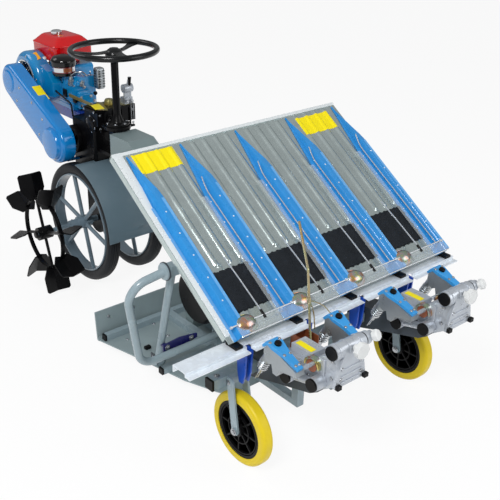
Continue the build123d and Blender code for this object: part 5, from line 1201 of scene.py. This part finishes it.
    def controls(self) -> None:
        """Clutch rod with its ball, zinc plates on the housing and the gear lever's knob."""
        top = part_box("gearbox")[1][2]
        run = [(1.159, 0.062, 0.987), (0.872, 0.062, 0.922), (0.862, 0.064, 0.9), (0.836, 0.07, 0.82)]
        Surface().tube(bent(run, 0.02), 0.0048, 10).build("clutch_rod", self.body, BLACK_PAINT)
        a = np.linspace(-math.pi / 2, math.pi / 2, 13)
        ball = Surface().lathe(0.015 * np.stack([np.cos(a), np.sin(a)], -1), (1.165, 0.062, 0.989), Z, 24)
        ball.build("clutch_knob", self.body, BLACK_PLASTIC)
        wedge = rounded([(0, 0), (0.15, -0.012), (0.17, 0.02), (0.02, 0.05)], 0.006, 4)
        Surface().plate(wedge, (0.565, 0.02, top), (1, -0.3, 0), (0.3, 1, 0), 0.003).build(
            "zinc_wedge", self.body, OLIVE_ZINC)
        sheet = rounded([(0, 0), (0.13, 0), (0.13, 0.07), (0, 0.07)], 0.006, 4)
        bracket = Surface().plate(sheet, (0.592, -0.155, top), X, Y, 0.003)
        bracket.turned([(0, 0.03), (0.018, 0.029), (0.024, 0.02), (0.026, 0)], (0.66, -0.045, top), Z, 24)
        bracket.build("zinc_bracket", self.body, OLIVE_ZINC)
        tread = rounded([(0, 0), (0.2, 0.012), (0.2, 0.034), (0, 0.026)], 0.004, 4)
        fold = rounded([(0, 0), (0.2, 0), (0.2, 0.018), (0, 0.012)], 0.004, 4)
        bridge = Surface().plate(tread, (0.69, 0.026, top + 0.001), (1, 0, 0.03), Y, 0.004)
        bridge.plate(fold, (0.69, 0.05, top + 0.004), (1, 0.06, 0.03), Z, 0.003)
        bridge.bolts([(0.71, 0.038, top + 0.006), (0.87, 0.05, top + 0.011)], Z, 0.005)
        bridge.build("zinc_bridge", self.body, OLIVE_ZINC)
        plate = Surface().label(0.1, 0.05, (0.645, 0.035, top + 0.0032), (1, -0.25, 0), (0.25, 1, 0))
        plate.build("housing_plate", self.body, YELLOW_PLATE)
        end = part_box("lever_bracket")[1][2]
        grip = Surface().tube(np.array([(0.596, -0.133, end - 0.045), (0.594, -0.135, end - 0.002)]),
                              [0.0075, 0.0095], 14)
        grip.build("lever_grip", self.body, BLACK_PLASTIC)
        trim, rods = Surface(), Surface()
        trim.bolts([(0.584, -0.14, 0.965), (0.584, -0.112, 0.965)], (-1, 0, 0), 0.006)
        for y, way in ((-0.15, -1), (-0.106, 1)):
            trim.turned([(0, 0.006), (0.016, 0.005), (0.018, 0)], (0.606, y, 1.0323), (0, way, 0), 20)
        trim.build("lever_trim", self.body, STEEL)
        for y in (-0.132, -0.146):
            rods.tube(np.array([(0.588, y, top + 0.012), (0.584, y, 0.87)]), 0.0028, 8)
        rods.build("lever_rods", self.body, STEEL)

    def housing(self) -> None:
        """Covers, ribs and bolts on the black housing under the column, and the pump beside the block."""
        cast, bolts, pump, dark = Surface(), Surface(), Surface(), Surface()
        top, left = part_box("gearbox")[1][2], 0.0705
        cast.turned([(0, 0.012), (0.034, 0.011), (0.038, 0.008), (0.038, 0.004), (0.046, 0.003), (0.047, 0)],
                    (0.655, left, 0.865), Y)
        bolts.bolts(around((0.655, left + 0.003, 0.865), 0.041, 6, 0.4), Y, 0.0042)
        for y in (-0.13, -0.08, -0.03, 0.02):
            cast.block((0.582, y, 0.84), (0.59, y + 0.01, 0.935), 0.003, 0.003)
        cast.block((0.578, -0.15, 0.83), (0.591, 0.06, 0.842), 0.003)
        cast.block((0.6, 0.07, top - 0.016), (0.71, 0.082, top - 0.004), 0.003)
        cast.turned([(0, 0.02), (0.016, 0.019), (0.02, 0.014), (0.02, 0.003), (0.026, 0.002), (0.026, 0)],
                    (0.589, 0.0, 0.89), (-1, 0, 0), 24)
        corners = [(-0.145, 0.92), (0.055, 0.92), (0.055, 0.85), (-0.145, 0.85)]
        bolts.bolts([(0.589, y, z) for y, z in corners], (-1, 0, 0), 0.005)
        bolts.bolts([(0.605, 0.0825, top - 0.01), (0.7, 0.0825, top - 0.01)], Y, 0.0045)
        cast.build("housing_castings", self.body, BLACK_PAINT)
        bolts.build("housing_bolts", self.body, STEEL)
        pump.turned([(0, 0.05), (0.007, 0.049), (0.01, 0.044), (0.01, 0.028), (0.015, 0.026), (0.015, 0.006),
                     (0.018, 0.005), (0.018, 0)], (0.955, 0.008, 1.002), (-0.3, 0.1, 1), 24)
        pump.turned([(0, 0.03), (0.006, 0.029), (0.008, 0.02), (0.012, 0.018), (0.012, 0)],
                    (0.9, -0.025, 1.0), (-0.4, 0, 1), 20)
        pipe = [(0.95, 0.01, 1.05), (0.94, -0.02, 1.07), (0.92, -0.05, 1.05), (0.915, -0.05, 1.01)]
        pump.tube(bent(pipe, 0.015), 0.0028, 8)
        dark.block((0.97, 0.024, 0.93), (1.01, 0.034, 0.972), 0.003, 0.006)
        dark.turned([(0, 0.014), (0.016, 0.013), (0.018, 0.01), (0.018, 0)], (0.9, 0.014, 0.93), Y, 24)
        pump.build("injection_pump", self.body, DULL_STEEL)
        dark.build("block_blanks", self.body, BLACK_PLASTIC)

    def make(self) -> None:
        """Builds every engine piece."""
        for step in (self.housing, self.tank, self.cleaner, self.silencer, self.guard, self.cowl,
                     self.fittings, self.controls):
            step()


# ---------------------------------------------------------------- planting units
@dataclass
class Planters:
    """Trim of the four planting arms and two cases."""

    rows: tuple[float, ...] = (-0.45, -0.15, 0.15, 0.45)
    cases: tuple[float, ...] = (-0.3, 0.3)
    heel: tuple[float, float] = (-1.308, 0.545)
    nose: tuple[float, float] = (-1.172, 0.592)
    rod_top: tuple[float, float] = (-1.165, 0.556)
    rod_end: tuple[float, float] = (-1.124, 0.472)
    case_back: float = -1.404
    shaft: tuple[float, float] = (-1.376, 0.62)
    body: str = "frame"

    def covers(self) -> None:
        """Raised rib, filler knob and screws on each blue arm cover."""
        heel, run = np.array(self.heel), unit(np.array(self.nose) - self.heel)
        up, length = np.array([-run[1], run[0]]), math.dist(self.nose, self.heel)
        axis = (up[0], 0, up[1])
        knobs, screws, ribs = Surface(), Surface(), Surface()
        rib = rounded([(0.0, -0.008), (0.085, -0.013), (0.085, 0.013), (0.0, 0.008)], 0.006, 4)
        for y in self.rows:
            x, z = heel + run * length * 0.86 + up * 0.014
            knobs.turned([(0, 0.011), (0.009, 0.0105), (0.0125, 0.008), (0.013, 0.0)], (x, y, z), axis, 20)
            for share, off in ((0.12, 0.008), (0.5, 0.013), (0.97, 0.022)):
                x, z = heel + run * length * share + up * 0.0142
                screws.bolts([(x, y + off, z), (x, y - off, z)], axis, 0.0042)
            x, z = heel + run * 0.022 + up * 0.0138
            ribs.plate(rib, (x, y, z), (run[0], 0, run[1]), Y, -0.0032, 0.0012)
        ribs.build("cover_ribs", self.body, BLUE_COVER)
        knobs.build("cover_knobs", self.body, BLACK_PLASTIC)
        screws.build("cover_screws", self.body, STEEL)

    def rods(self) -> None:
        """Bright collars on each push rod."""
        shape = Surface()
        start, span = np.array(self.rod_top), np.array(self.rod_end) - self.rod_top
        collar = [(0.0165, -0.003), (0.0205, -0.0025), (0.0215, 0), (0.0205, 0.0025), (0.0165, 0.003)]
        for y in self.rows:
            for x, z in (start + span * t for t in (0.66, 0.78, 0.9, 1.02)):
                shape.lathe(collar, (x, y, z), (span[0], 0, span[1]), 24)
        shape.build("push_rod_collars", self.body, CHROME)

    def trims(self) -> None:
        """Bare yellow plate, bolts and webs on each case."""
        bolts, webs, back = Surface(), Surface(), self.case_back
        sleeve = [(0.0275, -0.003), (0.0305, -0.002), (0.0305, 0.002), (0.0275, 0.003)]
        for number, y in enumerate(self.cases, 1):
            plate = Surface().label(0.08, 0.026, (-1.196, y + 0.012, 0.5352), X, Y)
            plate.build(f"case_plate_{number}", self.body, YELLOW_PLATE)
            for side in (1, -1):
                face = y + side * 0.048
                places = [(-1.13, face, 0.46), (-1.25, face, 0.455), (-1.36, face, 0.5), (-1.36, face, 0.57)]
                bolts.bolts(places, (0, side, 0), 0.006)
                webs.block((-1.3, face - 0.001, 0.47), (-1.33, face + side * 0.006, 0.56), 0.002, 0.003)
                webs.block((-1.16, face - 0.001, 0.446), (-1.3, face + side * 0.004, 0.452), 0.001, 0.003)
            rear = ((0.05, 0.52), (-0.05, 0.52), (0.045, 0.56), (-0.045, 0.56))
            bolts.bolts([(back, y + off, z) for off, z in rear], (-1, 0, 0), 0.005)
            for z in (0.505, 0.53, 0.555):
                webs.block((back + 0.001, y - 0.05, z), (back - 0.004, y + 0.05, z + 0.004), 0.001, 0.001)
            for off in (-0.045, 0.012, 0.055):
                webs.lathe(sleeve, (self.shaft[0], y + off, self.shaft[1]), Y, 28)
        bolts.build("case_bolts", self.body, STEEL)
        webs.build("case_webs", self.body, ALUMINIUM)

    def spools(self) -> None:
        """Red-brown spool inside each crank guard, and a bright barrel and white knob by each case."""
        spools, barrels, knobs = Surface(), Surface(), Surface()
        x, z = self.shaft
        reel = [(0, 0.021), (0.024, 0.02), (0.024, 0.016), (0.014, 0.013), (0.014, 0.006), (0.024, 0.003),
                (0.024, 0)]
        for y in self.cases:
            for side in (1, -1):
                spools.turned(reel, (-1.282, y + side * 0.049, 0.522), (0, side, 0), 28)
            edge = y - 0.072
            barrels.turned([(0, 0.052), (0.014, 0.052), (0.019, 0.046), (0.019, 0.03), (0.025, 0.026),
                            (0.025, 0.004), (0.022, 0)], (x, edge, z), (0, -1, 0), 28)
            knobs.turned([(0, 0.03), (0.016, 0.029), (0.021, 0.024), (0.021, 0.01), (0.012, 0.006),
                          (0.012, 0)],
                         (x - 0.016, edge - 0.034, z + 0.008), (-0.8, -0.3, 0.5), 8)
        spools.build("crank_spools", self.body, COPPER_PAINT)
        barrels.build("case_barrels", self.body, ALUMINIUM)
        knobs.build("barrel_knobs", self.body, WHITE_PLASTIC, 20)

    def clutch(self) -> None:
        """Wing nut and the two thin wires at the unit clutch."""
        x, y, z = np.array(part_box("clutch_bracket")[0]) + [0, 0.028, 0.04]
        nut = Surface().turned([(0, 0.014), (0.006, 0.013), (0.007, 0)], (x - 0.001, y, z), (-1, 0, 0), 12)
        nut.plate(oblong(0.034, 0.01, 0.004, 4), (x - 0.014, y, z), (0, 1, 0.6), (0, -0.6, 1), 0.003)
        nut.build("wing_nut", self.body, STEEL)
        wires, collar = Surface(), np.array([-1.098, 0.208, 0.645])
        for foot in ((-1.10, 0.17, 0.508), (-1.085, 0.06, 0.52)):
            wires.tube(bent([collar, (collar + foot) / 2 + [0, -0.01, 0.012], foot], 0.04), 0.0022, 8)
        sleeve = [(0.006, -0.012), (0.0085, -0.01), (0.0085, 0.01), (0.006, 0.012)]
        wires.lathe(sleeve, collar, (0.15, 0, 1), 16)
        wires.build("clutch_wires", self.body, LEVER_ZINC)

    def make(self) -> None:
        """Builds every planting trim."""
        for step in (self.covers, self.rods, self.trims, self.spools, self.clutch):
            step()


# ---------------------------------------------------------------- studio
@dataclass
class Studio:
    """Camera, pale floor and soft lamps."""

    eye: Point = (-2.95358, 2.13706, 2.13150)
    heading: float = math.radians(38.117)
    fall: float = math.radians(25.112)
    lens: float = 59.40
    shift: tuple[float, float] = (0.0847, -0.0203)
    floor_half: float = 60.0
    lamps: tuple = (("key", (-2.6, 3.6, 4.4), 1.6, 190), ("fill", (-3.8, -2.2, 2.4), 2.6, 55),
                    ("front", (3.8, 2.6, 4.2), 2.2, 45))

    @staticmethod
    def add(name: str, data: object) -> bpy.types.Object:
        """Links a new object to the scene."""
        made = bpy.data.objects.new(name, data)
        bpy.context.scene.collection.objects.link(made)
        return made

    def camera(self) -> None:
        """Places the camera so that it looks along the heading and down by the fall."""
        c = math.cos(self.fall)
        look = Vector((math.cos(self.heading) * c, -math.sin(self.heading) * c, -math.sin(self.fall)))
        side = look.cross(Vector(Z)).normalized()
        data = bpy.data.cameras.new("camera")
        data.lens, data.sensor_width = self.lens, 36
        data.shift_x, data.shift_y = self.shift
        data.clip_start, data.clip_end = 0.05, 200
        made = self.add("camera", data)
        turn = Matrix((side, side.cross(look), -look)).transposed().to_4x4()
        made.matrix_world = Matrix.Translation(self.eye) @ turn
        bpy.context.scene.camera = made

    def lamp(self, name: str, place: Point, size: float, power: float) -> None:
        """A square soft lamp, of a size in metres and a power in watts, that faces the machine."""
        data = bpy.data.lights.new(name, "AREA")
        data.shape, data.size, data.energy = "SQUARE", size, power
        made = self.add(name, data)
        made.location = place
        made.rotation_euler = (Vector((0, 0, 0.5)) - Vector(place)).to_track_quat("-Z", "Y").to_euler()

    @staticmethod
    def white_where_seen(w: Wiring, shader: object, share: float) -> object:
        """Mixes plain white into a shader for what the camera, gloss and glass see of it."""
        path = w.node("ShaderNodeLightPath").outputs
        seen = w.maths("MAXIMUM", path["Is Camera Ray"], path["Is Glossy Ray"])
        seen = w.maths("MULTIPLY", w.maths("MAXIMUM", seen, path["Is Transmission Ray"]), share)
        glow = w.node("ShaderNodeEmission", {"Color": (1, 1, 1, 1), "Strength": 1.0}).outputs[0]
        return w.node("ShaderNodeMixShader", {0: seen, 1: shader, 2: glow}).outputs[0]

    def floor(self) -> None:
        """A wide pale floor at the machine's feet."""
        mesh = bpy.data.meshes.new("floor")
        h = self.floor_half
        mesh.from_pydata([(-h, -h, 0), (h, -h, 0), (h, h, 0), (-h, h, 0)], [], [(0, 1, 2, 3)])
        self.add("floor", mesh)
        paint = bpy.data.materials.new("pale_floor")
        paint.use_nodes = True
        w, nodes = Wiring(paint.node_tree), paint.node_tree.nodes
        shader = w.feed(nodes["Principled BSDF"], {"Base Color": (0.93, 0.93, 0.93, 1), "Roughness": 0.9})
        w.feed(nodes["Material Output"], {"Surface": self.white_where_seen(w, shader.outputs[0], 0.9)})
        mesh.materials.append(paint)

    def sky(self) -> None:
        """Soft light from all round, brighter from above, that the camera sees as white."""
        world = bpy.data.worlds.new("studio")
        world.use_nodes = True
        bpy.context.scene.world = world
        w, nodes = Wiring(world.node_tree), world.node_tree.nodes
        toward = w.node("ShaderNodeSeparateXYZ", {0: w.node("ShaderNodeTexCoord").outputs["Generated"]})
        tone = w.blend(w.span(toward.outputs["Z"], -0.1, 0.85), (0.30, 0.31, 0.32, 1), (0.95, 0.96, 0.97, 1))
        room = w.feed(nodes["Background"], {"Color": tone, "Strength": 0.5}).outputs[0]
        white = w.node("ShaderNodeBackground", {"Color": (1, 1, 1, 1), "Strength": 1.0}).outputs[0]
        seen = w.node("ShaderNodeLightPath").outputs["Is Camera Ray"]
        mixed = w.node("ShaderNodeMixShader", {0: seen, 1: room, 2: white}).outputs[0]
        w.feed(nodes["World Output"], {"Surface": mixed})

    def make(self) -> None:
        """Builds the camera, the floor, the lamps and the surrounding light."""
        self.camera()
        self.floor()
        self.sky()
        for lamp in self.lamps:
            self.lamp(*lamp)
        bpy.context.scene.view_settings.view_transform = "Standard"


def main() -> None:
    """Builds the machine's looks in order."""
    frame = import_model()
    LOG.info("frame: %d nodes", len(frame["nodes"]))
    Studio().make()
    dress_frame(frame["nodes"])
    for part in (Tray(), RoadWheels(), RearWheels(), Engine(), Steering(), Chassis(), Planters()):
        part.make()
        LOG.info("%s done", type(part).__name__)


if __name__ == "__main__":
    main()
